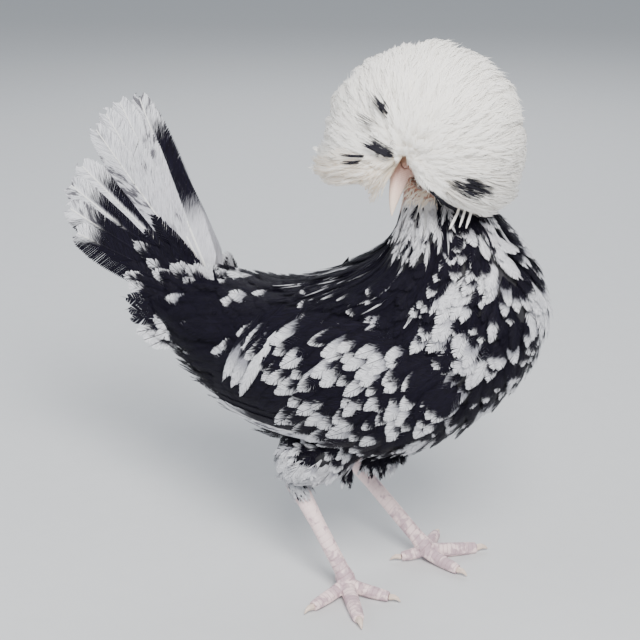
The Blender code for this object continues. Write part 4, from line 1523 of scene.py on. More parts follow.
@dataclass(frozen=True)
class WingTier:
    """A row of wing feathers, by places along the body and above the floor, lowest and highest.

    The lifts are the heights of roots and tips over the wing. The whites, rounds and shafts are what
    each feather's marking is drawn from. The sag bends feathers down, most in the lowest, the bow
    moves the row's middle back, and the edge is how white the lowest feather's outer side is.
    """

    count: int
    roots: tuple[Pair, Pair]
    tips: tuple[Pair, Pair]
    lifts: Pair
    width: float
    whites: tuple[float, ...]
    sag: float = 0.0
    bow: float = 0.0
    roll: float = 7.0
    jitter: float = 0.0018
    rounds: Pair = (-0.6, 1.0)
    shafts: tuple[float, ...] = (0.0, 0.0, 0.9)
    quills: bool = False
    edge: float = 0.0


@dataclass
class WingCoat:
    """The folded wings: flight feathers and tiers of coverts laid over the body's side."""

    anatomy: Anatomy
    studio: Studio
    patches: tuple[Patch, ...] = patches_of(
        (246, 350, 8, 0.4), (266, 322, 7, 0.3), (252, 384, 6, 0.35), (250, 400, 5, 0.25),
        (262, 414, 5, 0.25), (282, 429, 5, 0.25), (279, 340, 6, 0.4), (288, 366, 9, 0.9),
        (300, 388, 8, 0.7), (313, 412, 6, 0.45), (322, 330, 6, 0.3), (333, 347, 6, 0.3),
        (374, 348, 15, 1.0), (330, 375, 5, 0.3), (353, 373, 6, 0.35), (366, 373, 5, 0.3),
        (370, 394, 6, 0.25), (387, 388, 7, 0.35), (348, 408, 6, 0.3), (398, 412, 9, 0.5),
        (337, 427, 6, 0.4), (366, 427, 7, 0.45), (264, 392, 9, -0.9), (272, 408, 8, -0.9),
        (315, 352, 8, -0.6), (334, 395, 7, -0.6), (300, 325, 10, -0.4),
        per_unit=MILLIMETRES,
    )
    tiers: tuple[WingTier, ...] = (
        WingTier(9, ((0.038, 0.158), (0.010, 0.196)), ((-0.113, 0.150), (-0.107, 0.186)), (0.0002, 0.0022),
                 0.0112, (0.0,), 0.0125, 0.0, 7.0, 0.0, (0.0, 0.0), (0.0,), True, 1.3),
        WingTier(12, ((0.030, 0.160), (-0.048, 0.240)), ((-0.026, 0.137), (-0.092, 0.176)), (0.0010, 0.0042),
                 0.0094, (0.05, 0.14, 0.20, 0.26), 0.003, -0.006),
        WingTier(3, ((-0.050, 0.222), (-0.064, 0.233)), ((-0.080, 0.167), (-0.094, 0.175)), (0.0044, 0.0062),
                 0.0054, (0.95, 0.55, 0.45), 0.0, 0.0, 5.0, 0.0008, (0.4, 1.0), (0.0,)),
        WingTier(12, ((0.040, 0.166), (-0.030, 0.238)), ((-0.004, 0.140), (-0.078, 0.200)), (0.0020, 0.0052),
                 0.0088, (0.0, 0.06, 0.14, 0.24), 0.002, -0.004),
        WingTier(12, ((0.048, 0.170), (-0.012, 0.236)), ((0.012, 0.144), (-0.056, 0.208)), (0.0026, 0.0058),
                 0.0082, (0.0, 0.0, 0.12, 0.22), 0.0, -0.002),
        WingTier(12, ((0.056, 0.174), (0.004, 0.234)), ((0.025, 0.147), (-0.038, 0.212)), (0.0030, 0.0062),
                 0.0078, (0.0, 0.0, 0.14, 0.24)),
        WingTier(12, ((0.063, 0.178), (0.018, 0.232)), ((0.037, 0.150), (-0.022, 0.213)), (0.0032, 0.0064),
                 0.0074, (0.0, 0.0, 0.14, 0.24, 0.32)),
        WingTier(11, ((0.069, 0.182), (0.031, 0.229)), ((0.047, 0.155), (-0.006, 0.213)), (0.0034, 0.0065),
                 0.0072, (0.0, 0.0, 0.12, 0.24)),
        WingTier(10, ((0.074, 0.187), (0.043, 0.225)), ((0.055, 0.161), (0.010, 0.212)), (0.0036, 0.0066),
                 0.0070, (0.0, 0.0, 0.12, 0.24)),
        WingTier(9, ((0.079, 0.193), (0.054, 0.221)), ((0.062, 0.168), (0.026, 0.210)), (0.0038, 0.0066),
                 0.0070, (0.0, 0.0, 0.14)),
    )
    middle: Vector = fixed(-0.030, 0.0, 0.185)
    bulge: Vector = fixed(0.150, 0.079, 0.085)
    seed: int = 8
    centres: list[tuple[Vector, Patch]] = field(init=False)

    def __post_init__(self) -> None:
        """Finds the white and black patches on the wing."""
        self.centres = [(self.centre(patch.pixel), patch) for patch in self.patches]

    def out(self, x: float, z: float) -> Vector:
        """The wing surface's outward direction on the left side."""
        along, rise = (x - self.middle.x) / self.bulge.x, (z - self.middle.z) / self.bulge.z
        swell = math.sqrt(max(0.02, 1 - along**2 - rise**2))
        return Vector((along / self.bulge.x, swell / self.bulge.y, rise / self.bulge.z)).normalized()

    def point(self, side: Side, x: float, z: float, lift: float) -> Vector:
        """A place on the wing surface, raised.

        Args:
            side: the bird's side.
            x: how far ahead.
            z: how high above the floor.
            lift: how far off the surface.

        Returns:
            The place, packed.
        """
        along, rise = (x - self.middle.x) / self.bulge.x, (z - self.middle.z) / self.bulge.z
        swell = self.bulge.y * math.sqrt(max(0.02, 1 - along**2 - rise**2))
        place = Vector((x, swell, z)) + self.out(x, z) * lift
        return self.anatomy.at(place.x, side * place.y, place.z)

    def feather(self, plumes: Plumes, side: Side, tier: WingTier, share: float, draw: random.Random) -> None:
        """Adds one feather of a tier, at a share of the way from its lowest to its highest.

        Args:
            plumes: the feathers that it joins.
            side: the bird's side.
            tier: its tier.
            share: the share of the way.
            draw: the wing's draw.
        """
        root = Vector(tier.roots[0]).lerp(Vector(tier.roots[1]), share)
        tip = Vector(tier.tips[0]).lerp(Vector(tier.tips[1]), share)
        bow = tier.bow * 4 * share * (1 - share)
        root.x += bow
        tip += Vector((bow + draw.gauss(0, tier.jitter), draw.gauss(0, tier.jitter)))
        high = tier.lifts[1] + draw.gauss(0.0, 0.0003)
        way = Vector((tip.x - root.x, 0.0, tip.y - root.y)).normalized()
        roll = math.radians(tier.roll)
        path, ups = [], []
        for t in even_shares(plumes.steps):
            spot = root.lerp(tip, t)
            spot.y -= tier.sag * (1 - share) * 4 * t * (1 - t)
            path.append(self.point(side, spot.x, spot.y, tier.lifts[0] + (high - tier.lifts[0]) * t))
            out = Matrix.Rotation(roll, 3, way) @ self.out(spot.x, spot.y)
            ups.append(Vector((out.x, side * out.y, out.z)))
        spread = (0.25 if side > 0 else 0.75) + 0.22 * (root.y - 0.18) / 0.06
        home = (0.05 + 0.9 * (root.x + 0.12) / 0.22, min(0.98, max(0.02, spread)))
        white = max(0.0, draw.choice(tier.whites) + self.whitening(root.lerp(tip, 0.85)))
        most = 0.36 + 0.64 * (min(tier.whites) > 0.4)
        mark = (min(white, most), draw.uniform(*tier.rounds), draw.random(), draw.choice(tier.shafts))
        if tier.edge and share == 0:
            mark = (tier.edge, -side, mark[2], 0.0)
        plumes.add(path, ups, tier.width * draw.uniform(0.84, 1.02), mark, home)

    def centre(self, pixel: Pair) -> Vector:
        """Where a pixel of the photograph falls on the wing: along the body and above the floor."""
        middle = self.middle + self.anatomy.shift
        spot = self.studio.meets(pixel, middle, self.bulge) - self.anatomy.shift
        return Vector((spot.x, spot.z))

    def whitening(self, place: Vector) -> float:
        """How much whiter than its tier a feather is whose end is at a place."""
        total = 0.0
        for middle, patch in self.centres:
            total += patch.strength * math.exp(-1.4 * ((place - middle).length / patch.radius) ** 2)
        return total

    def build(self) -> list[Piece]:
        """Grows both wings and returns their pieces."""
        pieces = []
        for side in Side:
            draw = random.Random(self.seed)
            quills = Plumes(f"wing_{side.word}_flight_feathers", Form.FLIGHT, 9, cup=0.10, variants=3)
            coverts = Plumes(f"wing_{side.word}_coverts", Form.COVERT, 6, cup=0.2)
            for tier in self.tiers:
                for share in even_shares(tier.count):
                    self.feather(quills if tier.quills else coverts, side, tier, share, draw)
            pieces += quills.build() + coverts.build()
        return pieces


@dataclass
class TailCoat:
    """The tented tail: main feathers in each half, and coverts at their roots.

    A feather has its rise in degrees, its length, how white it is, how far one side is black and its
    seed. Each row of coverts, and the cloak over the steepest roots, has its count, start, length
    and lift off the middle. The lean adds to a half's steepest rises. A pair of rises, splays, lifts
    or widths is the first feather's or row's and the change to the last one's, or to the next for
    lifts and widths.
    """

    anatomy: Anatomy
    root: Pair = (-0.136, 0.203)
    feathers: tuple[tuple[float, float, float, float, float], ...] = (
        (67.0, 0.160, 1.3, 1.0, 0.13),
        (62.0, 0.163, 1.3, 0.0, 0.33),
        (57.5, 0.160, 1.3, 0.0, 0.71),
        (53.0, 0.154, 1.3, 0.0, 0.52),
        (42.0, 0.141, 0.60, 1.0, 0.93),
        (35.0, 0.139, 0.34, 1.0, 0.27),
        (28.5, 0.130, 0.20, 0.8, 0.61),
        (22.0, 0.117, 0.12, 0.5, 0.45),
    )
    lean: tuple[tuple[Side, float], ...] = ((Side.LEFT, -9.0), (Side.RIGHT, 0.0))
    coverts: tuple[tuple[int, float, float, float], ...] = (
        (13, 0.006, 0.084, 0.0130),
        (13, 0.000, 0.072, 0.0145),
        (12, -0.006, 0.061, 0.0165),
        (12, -0.012, 0.050, 0.0185),
    )
    cloak: tuple[int, float, float, float] = (11, -0.004, 0.044, 0.0135)
    quill_start: float = 0.012
    quill_splay: Pair = (2.5, 13.0)
    quill_lift: Pair = (0.0105, -0.0009)
    quill_widths: Pair = (0.0145, 0.0030)
    covert_rise: Pair = (49.0, -84.0)
    covert_splay: Pair = (5.0, 17.0)
    covert_width: Pair = (0.0098, -0.0007)
    cloak_rise: Pair = (88.0, -42.0)
    cloak_splay: Pair = (3.0, 8.0)
    cloak_width: float = 0.0075
    roll: float = 9.0
    droop: float = 0.004
    seed: int = 31

    def feather(self, plumes: Plumes, side: Side, rise: float, splay: float, start: float, length: float,
                lift: float, width: float, mark: Mark) -> None:
        """Adds one feather of a half, at an angle of rise behind the rump.

        Args:
            plumes: the feathers that it joins.
            side: the half's side.
            rise: its angle over level, in degrees.
            splay: its angle out from the middle.
            start: how far from the tail's root it begins.
            length: its length.
            lift: how far from the middle it is at the root.
            width: half its greatest width.
            mark: its marking.
        """
        rise, splay = math.radians(rise), math.radians(splay)
        out = Vector((-math.cos(rise) * math.cos(splay), side * math.sin(splay), math.sin(rise)))
        upward = Vector((math.sin(rise), 0.0, math.cos(rise)))
        face = out.cross(upward).normalized()
        if face.y * side < 0:
            face.negate()
        face = Matrix.Rotation(math.radians(-side * self.roll), 3, out) @ face
        base = self.anatomy.at(self.root[0], side * lift, self.root[1])
        shares = even_shares(plumes.steps)
        path = [base + out * (start + length * t) + upward * self.droop * t * t for t in shares]
        home = (0.1 + 0.8 * rise / math.radians(75), (0.3 if side > 0 else 0.7) + 2.0 * (lift - 0.01))
        plumes.add(path, [face] * len(path), width, mark, home)

    def build(self) -> list[Piece]:
        """Grows both halves and returns their pieces."""
        quills = Plumes("tail_feathers", Form.FLIGHT, 7, cup=0.12, variants=4)
        coverts = Plumes("tail_coverts", Form.COVERT, 6, cup=0.25)
        draw = random.Random(self.seed)
        for side, lean in self.lean:
            shares = even_shares(len(self.feathers))
            for i, (share, (rise, length, white, split, shade)) in enumerate(zip(shares, self.feathers)):
                self.feather(quills, side, rise + lean * (1 - share), ramp(self.quill_splay, share),
                             self.quill_start, length, ramp(self.quill_lift, i),
                             ramp(self.quill_widths, i > 3), (white, -side * split, shade, 0.0))
            for row, (count, start, length, lift) in enumerate(self.coverts):
                for share in even_shares(count):
                    rise = ramp(self.covert_rise, share) + lean / 2 * (1 - share) + draw.gauss(0, 2.0)
                    white = draw.choice((0.0, 0.0, 0.0, 0.0, 0.07, 0.12)) + 0.16 * (share > 0.8)
                    mark = (white, draw.uniform(-1.1, 0.7), draw.random(), draw.choice((0.0, 1.0)))
                    long = length * draw.uniform(0.9, 1.06) * (1 - 0.30 * share)
                    self.feather(coverts, side, rise, ramp(self.covert_splay, share), start, long, lift,
                                 ramp(self.covert_width, row), mark)
            self.shroud(coverts, side, lean)
        return quills.build() + coverts.build()

    def shroud(self, coverts: Plumes, side: Side, lean: float) -> None:
        """Adds the short feathers that hide the roots of a half's steepest main feathers.

        Args:
            coverts: the feathers that they join.
            side: the half's side.
            lean: how many degrees are added to their rise.
        """
        draw = random.Random(self.seed + 1)
        count, start, length, lift = self.cloak
        for share in even_shares(count):
            white = 0.10 if share < 0.3 else draw.choice((0.45, 0.7, 0.85))
            mark = (white, draw.uniform(0.2, 1.0), draw.random(), 0.0)
            long = length * draw.uniform(0.85, 1.05) * min(1.0, 0.7 + share)
            self.feather(coverts, side, ramp(self.cloak_rise, share) + lean, ramp(self.cloak_splay, share),
                         start, long, lift, self.cloak_width, mark)


@dataclass(frozen=True)
class Strand:
    """Single feathers that stand out of the crest along one line drawn over the photograph.

    The looseness is in pixels, the half width and the way ahead to the camera in metres, and the
    height a share of the crest's own reach.
    """

    line: Window
    count: int
    loose: float
    width: float
    black: float = 0.0
    height: float = 0.0
    ahead: float = 0.0


@dataclass
class Crest:
    """The globe of crest feathers, which leave a whorl above the beak and hang down at the nape.

    The face window is an outline over the photograph that no feather covers. Each layer has its
    name, count, least and greatest share of the reach, half width and depth.
    """

    anatomy: Anatomy
    studio: Studio
    centre: Vector = fixed(0.0292, -0.0171, 0.3575)
    radii: Vector = fixed(0.069, 0.068, 0.0595)
    crown: Vector = field(default_factory=lambda: Vector((0.10, -0.45, 0.89)).normalized())
    brow: Vector = field(default_factory=lambda: Vector((0.08, -0.93, -0.34)).normalized())
    chin: Vector = field(default_factory=lambda: Vector((0.00, -0.62, -0.78)).normalized())
    face_window: Window = (
        (378, 270), (384, 192), (396, 166), (401, 157), (407, 158), (417, 177), (431, 193), (452, 206),
        (472, 213), (497, 219), (511, 211), (560, 270),
    )
    whorl_pixel: Pair = (402, 160)
    longest_turn: float = 66.0
    locks: tuple[Patch, ...] = patches_of(
        (329, 160, 0.45, 0.16), (312, 164, 0.16, 0.07), (314, 134, 0.28, -0.15), (335, 100, 0.50, -0.05),
        (440, 50, 0.45, 0.03), (490, 203, 0.34, 0.15),
    )
    strands: tuple[Strand, ...] = (
        Strand(((416, 175), (430, 189), (446, 202), (466, 210)), 12, 0.9, 0.0006, 2.0, 0.05),
        Strand(((392, 158), (387, 154), (379, 149), (369, 144)), 14, 2.2, 0.0009, 2.0, 0.06),
        Strand(((374, 156), (364, 155), (354, 154), (345, 152)), 5, 0.9, 0.0005, 2.0, 0.055),
        Strand(((364, 162), (359, 161), (353, 161), (347, 160)), 4, 0.8, 0.0005, 2.0, 0.055),
        Strand(((391, 119), (386, 111), (381, 104), (375, 95)), 8, 2.6, 0.0007, 0.68, 0.045),
        Strand(((391, 119), (386, 111), (381, 104), (375, 95)), 11, 3.2, 0.00028, 2.0, 0.055),
        Strand(((375, 127), (370, 123), (365, 120), (360, 117)), 7, 2.6, 0.00025, 2.0, 0.055),
        Strand(((394, 156), (386, 151), (377, 146), (364, 138)), 9, 3.0, 0.00025, 2.0, 0.055),
        Strand(((452, 184), (465, 188), (478, 192), (487, 196)), 16, 5.0, 0.00030, 2.0, 0.06),
        Strand(((340, 157), (332, 154), (324, 151), (316, 148)), 8, 1.4, 0.0007, 0.0, 0.02),
        Strand(((338, 172), (330, 172), (321, 170), (312, 168)), 8, 2.4, 0.0006, 0.0, 0.0),
        Strand(((459, 205), (455, 215), (450, 224), (446, 231)), 2, 0.3, 0.0009, 0.0, 0.0, 0.022),
        Strand(((465, 206), (462, 214), (459, 222), (456, 229)), 2, 0.3, 0.0009, 0.0, 0.0, 0.022),
        Strand(((471, 207), (468, 215), (465, 223), (462, 230)), 2, 0.3, 0.0009, 0.0, 0.0, 0.022),
    )
    layers: tuple[tuple[str, int, float, float, float, float], ...] = (
        ("crest_under_feathers", 1500, 0.72, 0.90, 0.0076, 0.50),
        ("crest_outer_feathers", 4200, 0.88, 1.0, 0.0058, 0.36),
    )
    strand_shares: tuple[float, ...] = (0.0, 0.8, 1.0, 1.2)
    core: float = 0.47
    outside: float = 0.96
    face_half_angle: float = 15.0
    fullness: float = 0.16
    flatness: float = 0.09
    hem: float = -0.80
    raised_lobe_low: float = -0.52
    dark_spots: tuple[Patch, ...] = patches_of(
        (377, 101, 7.0, 0.40), (382, 107, 7.0, 0.40), (386, 113, 6.0, 0.35), (362, 120, 5.0, 0.25),
        (370, 122, 5.0, 0.25), (376, 147, 10.0, 1.0), (385, 152, 10.0, 1.0), (366, 148, 7.0, 0.55),
        (352, 154, 6.0, 0.60), (461, 186, 9.0, 0.9), (471, 189, 11.0, 1.0), (479, 193, 7.0, 1.0),
        (469, 198, 8.0, 1.0), (490, 180, 7.0, 0.40),
    )
    stains: tuple[Patch, ...] = patches_of(
        (352, 168, 18.0, 0.8), (372, 173, 15.0, 0.9), (388, 172, 12.0, 1.0),
    )
    seed: int = 3

    def turned(self, start: Vector, end: Vector, share: float) -> Vector:
        """The direction a share of the way round from one direction to another."""
        return Matrix.Rotation(start.angle(end) * share, 3, start.cross(end)) @ start

    def faces_out(self, direction: Vector) -> bool:
        """Whether a direction passes through the face's opening."""
        near = min(direction.angle(self.turned(self.brow, self.chin, share)) for share in even_shares(5))
        return math.degrees(near) < self.face_half_angle

    def grows(self, tip: Vector) -> bool:
        """Whether feathers end in a direction: above the crest's hem and clear of the face.

        Args:
            tip: the direction, from the crest's middle.

        Returns:
            Whether they do.
        """
        low = self.hem
        if tip.x <= 0:
            low = self.raised_lobe_low * min(1.0, -tip.x / 0.3) - 0.25 * (tip.x > -0.3)
        if tip.z < min(low, self.raised_lobe_low) and not (tip.y > 0.3 and tip.z > -0.85):
            return False
        return not any(self.faces_out(self.turned(self.crown, tip, share)) for share in (0.8, 1.0))

    def point(self, direction: Vector, reach: float) -> Vector:
        """A point at a share of the crest's reach in a direction."""
        spread = Vector([part * radius * reach for part, radius in zip(direction, self.radii)])
        return self.anatomy.at(*(self.centre + spread))

    def upstream(self, whorl: Vector, tip: Vector, arc: float) -> Vector:
        """The direction an arc back from a feather's tip: out of the whorl, and down at the nape.

        Args:
            whorl: the whorl's direction.
            tip: the tip's direction.
            arc: the arc in degrees.

        Returns:
            The direction of the feather's root.
        """
        nape = eased(clamp((math.degrees(whorl.angle(tip)) - 65) / 70))
        flow = Vector((0.0, 0.0, 0.0))
        for start, weight in ((whorl, 1 - nape), (self.crown, nape)):
            away = tip - start
            flow += (away - tip * away.dot(tip)).normalized() * weight
        return Matrix.Rotation(-math.radians(arc), 3, tip.cross(flow)) @ tip

    def spot(self, pixel: Pair) -> Vector:
        """Where a pixel of the photograph meets the crest's outside."""
        middle = self.anatomy.at(*self.centre)
        return self.studio.meets(pixel, middle, self.radii, self.outside)

    def dark_mark(self, path: list[Vector], patches: tuple[Patch, ...]) -> Pair:
        """How strongly a feather takes the patches that it shows in, and where along it.

        Args:
            path: points along its shaft.
            patches: spots by pixels, with radii in pixels.

        Returns:
            The strength, and the share of the feather's length where it is greatest.
        """
        strongest, centre = 0.0, 0.8
        for share, place in zip(even_shares(len(path)), path):
            x, y = self.studio.pixel(place)
            for patch in patches:
                away = math.hypot(x - patch.pixel[0], y - patch.pixel[1])
                here = patch.strength * (1 - (away / patch.radius) ** 2)
                if here > strongest:
                    strongest, centre = here, share
        return strongest, centre

    def core_mesh(self) -> Mesh:
        """The low core that the feathers stand on."""
        shape = bmesh.new()
        bmesh.ops.create_uvsphere(shape, u_segments=32, v_segments=20, radius=1.0)
        place = Matrix.Translation(self.anatomy.at(*self.centre))
        scale = Matrix.Diagonal((*(self.radii * self.core), 1.0))
        bmesh.ops.transform(shape, matrix=place @ scale, verts=shape.verts)
        return freed("crest core", shape)

    def directions(self, count: int, draw: random.Random) -> list[Vector]:
        """Directions spread evenly round the globe, each a little off its place.

        Args:
            count: how many.
            draw: the crest's draw.

        Returns:
            The directions.
        """
        found = []
        for i in range(count):
            height = 1 - 2 * (i + 0.5) / count
            around = i * math.pi * (3 - math.sqrt(5))
            flat = math.sqrt(1 - height**2)
            jump = Vector([draw.gauss(0.0, 1.1 / math.sqrt(count)) for _ in range(3)])
            spot = Vector((flat * math.cos(around), flat * math.sin(around), height))
            found.append((spot + jump).normalized())
        return found

    def direction(self, pixel: Pair) -> Vector:
        """The direction from the crest's middle to where a pixel of the photograph meets its outside."""
        spot = self.spot(pixel) - self.anatomy.at(*self.centre)
        return Vector([part / radius for part, radius in zip(spot, self.radii)]).normalized()

    def reach(self, tip: Vector, drawn: float, locks: list[tuple[Vector, float, float]]) -> float:
        """How far out a feather ends, as a share of the radii.

        Args:
            tip: the direction it ends in.
            drawn: its own share, before the crest's unevenness.
            locks: the locks' directions, sizes and strengths.

        Returns:
            The share.
        """
        reach = drawn + 0.04 * noise.noise(tip * 3.2) + 0.035 * noise.noise(tip * 7.0)
        for place, size, extra in locks:
            reach += extra * math.exp(-((place.angle(tip) / size) ** 2))
        reach += self.fullness * max(0.0, tip.x) * max(0.0, -tip.z)
        return reach - self.flatness * max(0.0, -tip.x) * max(0.0, tip.z)

    def feather(self, plumes: Plumes, whorl: Vector, tip: Vector, reach: float, depth: float, width: float,
                draw: random.Random) -> None:
        """Adds one feather, unless it would hide the face.

        Args:
            plumes: its layer.
            whorl: the direction that feathers leave.
            tip: the direction it ends in.
            reach: how far out it ends.
            depth: how much further in its root is.
            width: its half width.
            draw: the draw for its own differences.
        """
        angle = math.degrees(whorl.angle(tip))
        arc = min(self.longest_turn, angle * draw.uniform(0.65, 0.90))
        root = self.upstream(whorl, tip, arc)
        low = reach - min(1.0, angle / 60.0) * depth - 0.04
        side = root.cross(tip).normalized()
        sway = Matrix.Rotation(draw.gauss(0.0, 0.07) + 0.14 * noise.noise(tip * 4.5), 3, tip)
        path, ups = [], []
        for share in even_shares(plumes.steps):
            way = sway @ self.turned(root, tip, share)
            path.append(self.point(way, low + (reach - low) * (1 - (1 - share) ** 2.2)))
            ups.append(Matrix.Rotation(0.06, 3, side.cross(way)) @ way)
        if any(self.studio.covers(place, self.face_window) for place in path[3:]):
            return
        black, centre, ochre = 0.0, 0.8, 0.0
        if tip.dot(self.studio.back()) > -0.2:
            black, centre = self.dark_mark(path, self.dark_spots)
            ochre = self.dark_mark(path, self.stains)[0]
        around = math.atan2(tip.y, tip.x) / math.tau + 0.5
        home = (0.01 + 0.98 * around, 0.01 + 0.98 * (tip.z * 0.5 + 0.5))
        wide = width * draw.uniform(0.8, 1.2)
        plumes.add(path, ups, wide, (black, ochre, draw.random(), centre), home)

    def build(self) -> list[Piece]:
        """Grows the crest's layers and returns its pieces."""
        pieces = []
        draw = random.Random(self.seed)
        whorl = self.direction(self.whorl_pixel)
        locks = [(self.direction(lock.pixel), lock.radius, lock.strength) for lock in self.locks]
        for name, count, near, far, width, depth in self.layers:
            plumes = Plumes(name, Form.PLUME, 7, cup=0.25)
            for tip in self.directions(count, draw):
                if self.grows(tip):
                    reach = self.reach(tip, draw.uniform(near, far), locks)
                    self.feather(plumes, whorl, tip, reach, depth, width, draw)
            pieces += plumes.build()
        return pieces + self.stray()

    def stray(self) -> list[Piece]:
        """Grows the single strands that stand out of the globe's edge in the photograph."""
        plumes = Plumes("crest_stray_feathers", Form.LANCE, 4, cup=0.2)
        draw = random.Random(self.seed)
        middle = self.anatomy.at(*self.centre)
        for strand in self.strands:
            for _ in range(strand.count):
                jump = Vector((draw.gauss(0, strand.loose), draw.gauss(0, strand.loose)))
                pixels = [Vector(pixel) + jump * (0.6 + 0.15 * k) for k, pixel in enumerate(strand.line)]
                out = [0.96 + (0.04 + strand.height) * share for share in self.strand_shares]
                path = [middle + (self.spot(tuple(pixel)) - middle) * share
                        + self.studio.back() * strand.ahead for pixel, share in zip(pixels, out)]
                ups = [(place - middle).normalized() * 0.5 + self.studio.back() for place in path]
                plumes.add(path, ups, strand.width * draw.uniform(0.8, 1.2),
                           (strand.black, 0.0, draw.random(), 0.5), (draw.uniform(0.01, 0.99), 0.02))
        return plumes.build()


@dataclass
class Head:
    """The beak and eyes."""

    anatomy: Anatomy
    beak_voxel: float = 0.00035
    eye_radius: float = 0.0055

    def beak(self) -> None:
        """Makes both halves of the beak."""
        ahead = self.anatomy.head.to_3x3() @ Vector((0.0, 0.85, -0.53))
        root = self.anatomy.head @ Vector((0.0, 0.027, 0.0))
        tip = self.anatomy.head @ Vector((0.0, 0.051, -0.019))
        finish = HornFinish("beak_horn", (0.88, 0.72, 0.58), (0.82, 0.53, 0.47), tuple(ahead),
                            ahead.dot(root), ahead.dot(tip))
        material = finish.material()
        for node in ("beak_upper", "beak_lower"):
            horn_piece(node, self.beak_voxel, 8, material)

    def eyes(self) -> None:
        """Makes both eyes, each with its axis out of the head."""
        material = EyeFinish().material()
        for side in Side:
            low, high = (Vector(corner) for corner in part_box("eye_" + side.word))
            axis = self.anatomy.head.to_3x3() @ Vector((-side, 0.12, 0.05))
            bpy.ops.mesh.primitive_uv_sphere_add(segments=40, ring_count=24, radius=self.eye_radius)
            piece = bpy.context.active_object
            piece.name = f"eye_{side.word}_ball"
            piece.matrix_world = Matrix.LocRotScale((low + high) / 2, axis.to_track_quat("Z", "Y"), None)
            piece.data.shade_smooth()
            carry(piece, "eye", material, "eye_" + side.word)


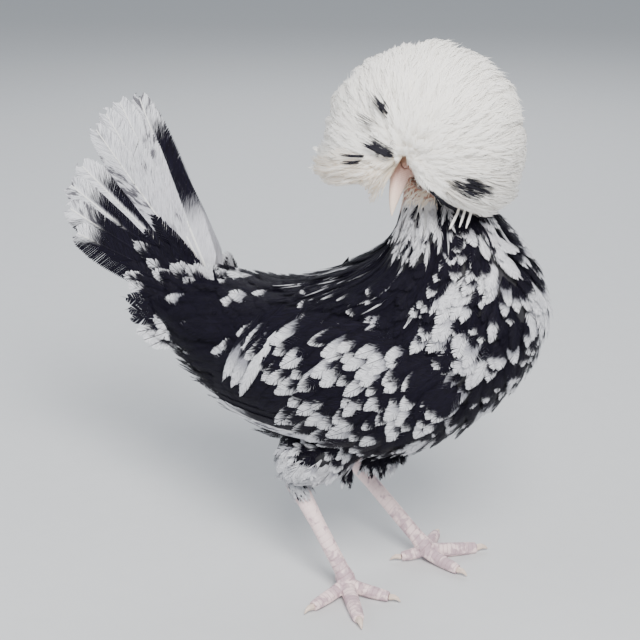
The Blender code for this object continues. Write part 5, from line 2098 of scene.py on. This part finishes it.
@dataclass
class Legs:
    """Shanks and feet in one skin with raised scutes, and their claws."""

    anatomy: Anatomy
    hock_height: float = 0.086
    toes: tuple[str, ...] = ("inner", "middle", "outer", "hind")
    toe_root: float = 0.0075
    toe_end: float = 0.0040
    voxel: float = 0.00062
    claw_voxel: float = 0.0003
    scute_height: float = 0.00034
    shank_pitch: float = 0.0050
    toe_pitch: float = 0.0036
    overlap: float = 0.18
    seam_share: float = 0.22
    back_angle: float = 1.9
    sole_angle: float = 1.5
    fade: float = 0.5
    net_angle: float = 0.7
    net_pitch: float = 0.55
    net_seam: float = 0.3
    net_depth: float = 0.7
    middle_seam: float = 0.09
    smooth_under: float = 0.75
    flat_sole: float = 0.0006
    sole_fade: float = 0.0010

    def bones(self, side: Side) -> list[tuple[Vector, Vector, float]]:
        """The shank's and toes' middle lines and the spacing of their scutes.

        Args:
            side: the leg's side.

        Returns:
            Each bone's start, end and spacing, the shank first.
        """
        ankle = self.anatomy.ankle(side)
        found = [(self.anatomy.hock(side, self.hock_height), ankle, self.shank_pitch)]
        for toe in self.toes:
            low, high = (Vector(corner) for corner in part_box(f"claw_{side.word}_{toe}"))
            end = (low + high) / 2
            end.z = self.toe_end
            found.append((Vector((ankle.x, ankle.y, self.toe_root)), end, self.toe_pitch))
        return found

    def build(self) -> None:
        """Makes both legs and their claws."""
        material = LegFinish().material()
        horn = HornFinish("claw_horn", (0.74, 0.60, 0.50), (0.60, 0.46, 0.40), (0.0, 0.0, 1.0), 0.0, 0.004)
        claw_material = horn.material()
        for side in Side:
            nodes = (f"shank_{side.word}", f"foot_{side.word}")
            piece = remeshed(f"leg_{side.word}_skin", [solid(node) for node in nodes], self.voxel, 5)
            self.raise_scutes(piece, self.bones(side))
            piece.data.shade_smooth()
            carry(piece, "leg_skin", material, *nodes)
            for toe in self.toes:
                horn_piece(f"claw_{side.word}_{toe}", self.claw_voxel, 6, claw_material)

    def seams(self, along: np.ndarray, angle: np.ndarray, pitch: float, shank: bool) -> np.ndarray:
        """How deep in a seam between scutes each point lies.

        Args:
            along: how far along the bone each point is.
            angle: how far round it from its front.
            pitch: the scutes' spacing.
            shank: whether the bone is a shank, with two columns ahead and a net of scales behind.

        Returns:
            The depth of each, from 0 to 1.
        """
        column = np.where(angle > 0, 0.5, 0.0) if shank else 0.0
        phase = along / pitch + column + self.overlap * np.cos(angle) * (1 if shank else -1)
        place = phase - np.floor(phase)
        edge = np.minimum(place, 1 - place) * 2
        ring = np.clip(1 - edge / self.seam_share, 0, 1)
        if not shank:
            under = np.clip((np.abs(angle) - self.sole_angle) / self.fade, 0, 1)
            return ring * (1 - self.smooth_under * under)
        back = np.clip((np.abs(angle) - self.back_angle) / self.fade, 0, 1)
        turn = angle / self.net_angle
        small = along / (pitch * self.net_pitch) + np.where(np.floor(turn) % 2 > 0, 0.5, 0.0)
        cell = np.minimum(np.abs(small - np.round(small)) * 2, np.abs(turn - np.round(turn)) * 2)
        ring = ring * (1 - back) + back * np.clip(1 - cell / self.net_seam, 0, 1) * self.net_depth
        return np.maximum(ring, np.clip(1 - np.abs(angle) / self.middle_seam, 0, 1))

    def raise_scutes(self, piece: Piece, bones: list[tuple[Vector, Vector, float]]) -> None:
        """Sinks the seams between overlapping scutes round each bone, and marks them.

        Args:
            piece: the leg's skin.
            bones: each bone's start, end and spacing, the shank first.
        """
        mesh = piece.data
        points, normals = read_points(mesh)
        best = np.full(len(points), 1e9)
        seam = np.zeros(len(points))
        for number, (start, end, pitch) in enumerate(bones):
            shank = number == 0
            line = np.array(end - start)
            length = np.linalg.norm(line)
            line /= length
            along = (points - np.array(start)) @ line
            nearest = np.array(start) + np.clip(along, 0, length)[:, None] * line
            out = points - nearest
            front = np.cross(np.array((0.0, 1.0, 0.0)), line) if shank else np.array((0.0, 0.0, 1.0))
            front /= np.linalg.norm(front)
            if shank and front[0] < 0:
                front = -front
            angle = np.arctan2(out @ np.cross(line, front), out @ front)
            away = np.linalg.norm(out, axis=1)
            seam = np.where(away < best, self.seams(along, angle, pitch, shank), seam)
            best = np.minimum(best, away)
        floor_hold = np.clip((points[:, 2] - self.flat_sole) / self.sole_fade, 0, 1)
        moved = points - normals * (seam * self.scute_height * floor_hold)[:, None]
        mesh.vertices.foreach_set("co", moved.astype(np.float32).ravel())
        mesh.update()
        height = np.clip(points[:, 2] / self.hock_height, 0, 1)
        write_marks(mesh, np.stack([seam, height, np.zeros(len(points)), np.ones(len(points))], 1))


def paint_hide(piece: Piece, colour_of: Callable[[Vector], Colour]) -> None:
    """Marks each point of a skin by its place."""
    write_marks(piece.data, np.array([(*colour_of(corner.co), 1.0) for corner in piece.data.vertices]))


def join_pieces(name: str, pieces: Sequence[Piece]) -> Piece:
    """Joins mesh objects into the first of them.

    Args:
        name: the joined object's name.
        pieces: the objects.

    Returns:
        The first, with all their meshes.
    """
    bpy.ops.object.select_all(action="DESELECT")
    for piece in pieces:
        piece.select_set(True)
    bpy.context.view_layer.objects.active = pieces[0]
    bpy.ops.object.join()
    pieces[0].name = name
    return pieces[0]


def main() -> None:
    """Builds the studio and the bird, piece by piece."""
    logging.basicConfig(level=logging.INFO, format="%(name)s %(message)s")
    anatomy = Anatomy()
    studio = Studio(anatomy)
    studio.build()
    skin = Skin(anatomy)
    body = skin.body()
    surface = Surface.of(body)
    markings = Markings(anatomy, studio, surface)
    crest = Crest(anatomy, studio)
    head_skin = skin.head()
    core = remeshed("crest_core", [crest.core_mesh()], 0.0022, 2)
    coat = Coat(anatomy, Flow(anatomy), markings, surface, studio)
    paint_hide(body, lambda place: (coat.under(place), coat.bare(place), 0.0))
    stubs = coat.stubs((surface, Surface.of(head_skin)))
    paint_hide(head_skin, lambda place: (0.0, 1.0, 0.0))
    paint_hide(core, lambda place: (1.0, 0.0, 0.0))
    hide = join_pieces("skin", (body, head_skin, core))
    hide.data.shade_smooth()
    covered = ("torso", "neck", "head", "thigh_left", "thigh_right")
    carry(hide, "mottled_plumage", HideFinish().material(), *covered)
    plumage = PlumageFinish("mottled_plumage").material()
    for piece in coat.build():
        carry(piece, "mottled_plumage", plumage)
    flight = PlumageFinish("flight_plumage", fibres=80.0, slant=0.16, fray=0.10, shaft=0.07, smudge=0.9,
                           split=1.0)
    black = flight.material()
    for piece in WingCoat(anatomy, studio).build():
        node = "wing_left" if "left" in piece.name else "wing_right"
        carry(piece, "black_plumage", black if "flight" in piece.name else plumage, node)
    for piece in TailCoat(anatomy).build():
        finish = black if piece.name == "tail_feathers" else plumage
        carry(piece, "black_plumage", finish, "tail_left", "tail_right")
    white = CrestFinish("white_plumage").material()
    for piece in crest.build():
        carry(piece, "white_plumage", white, "crest")
    for piece in stubs:
        carry(piece, "white_plumage", white)
    head = Head(anatomy)
    head.beak()
    head.eyes()
    Legs(anatomy).build()


if __name__ == "__main__":
    main()
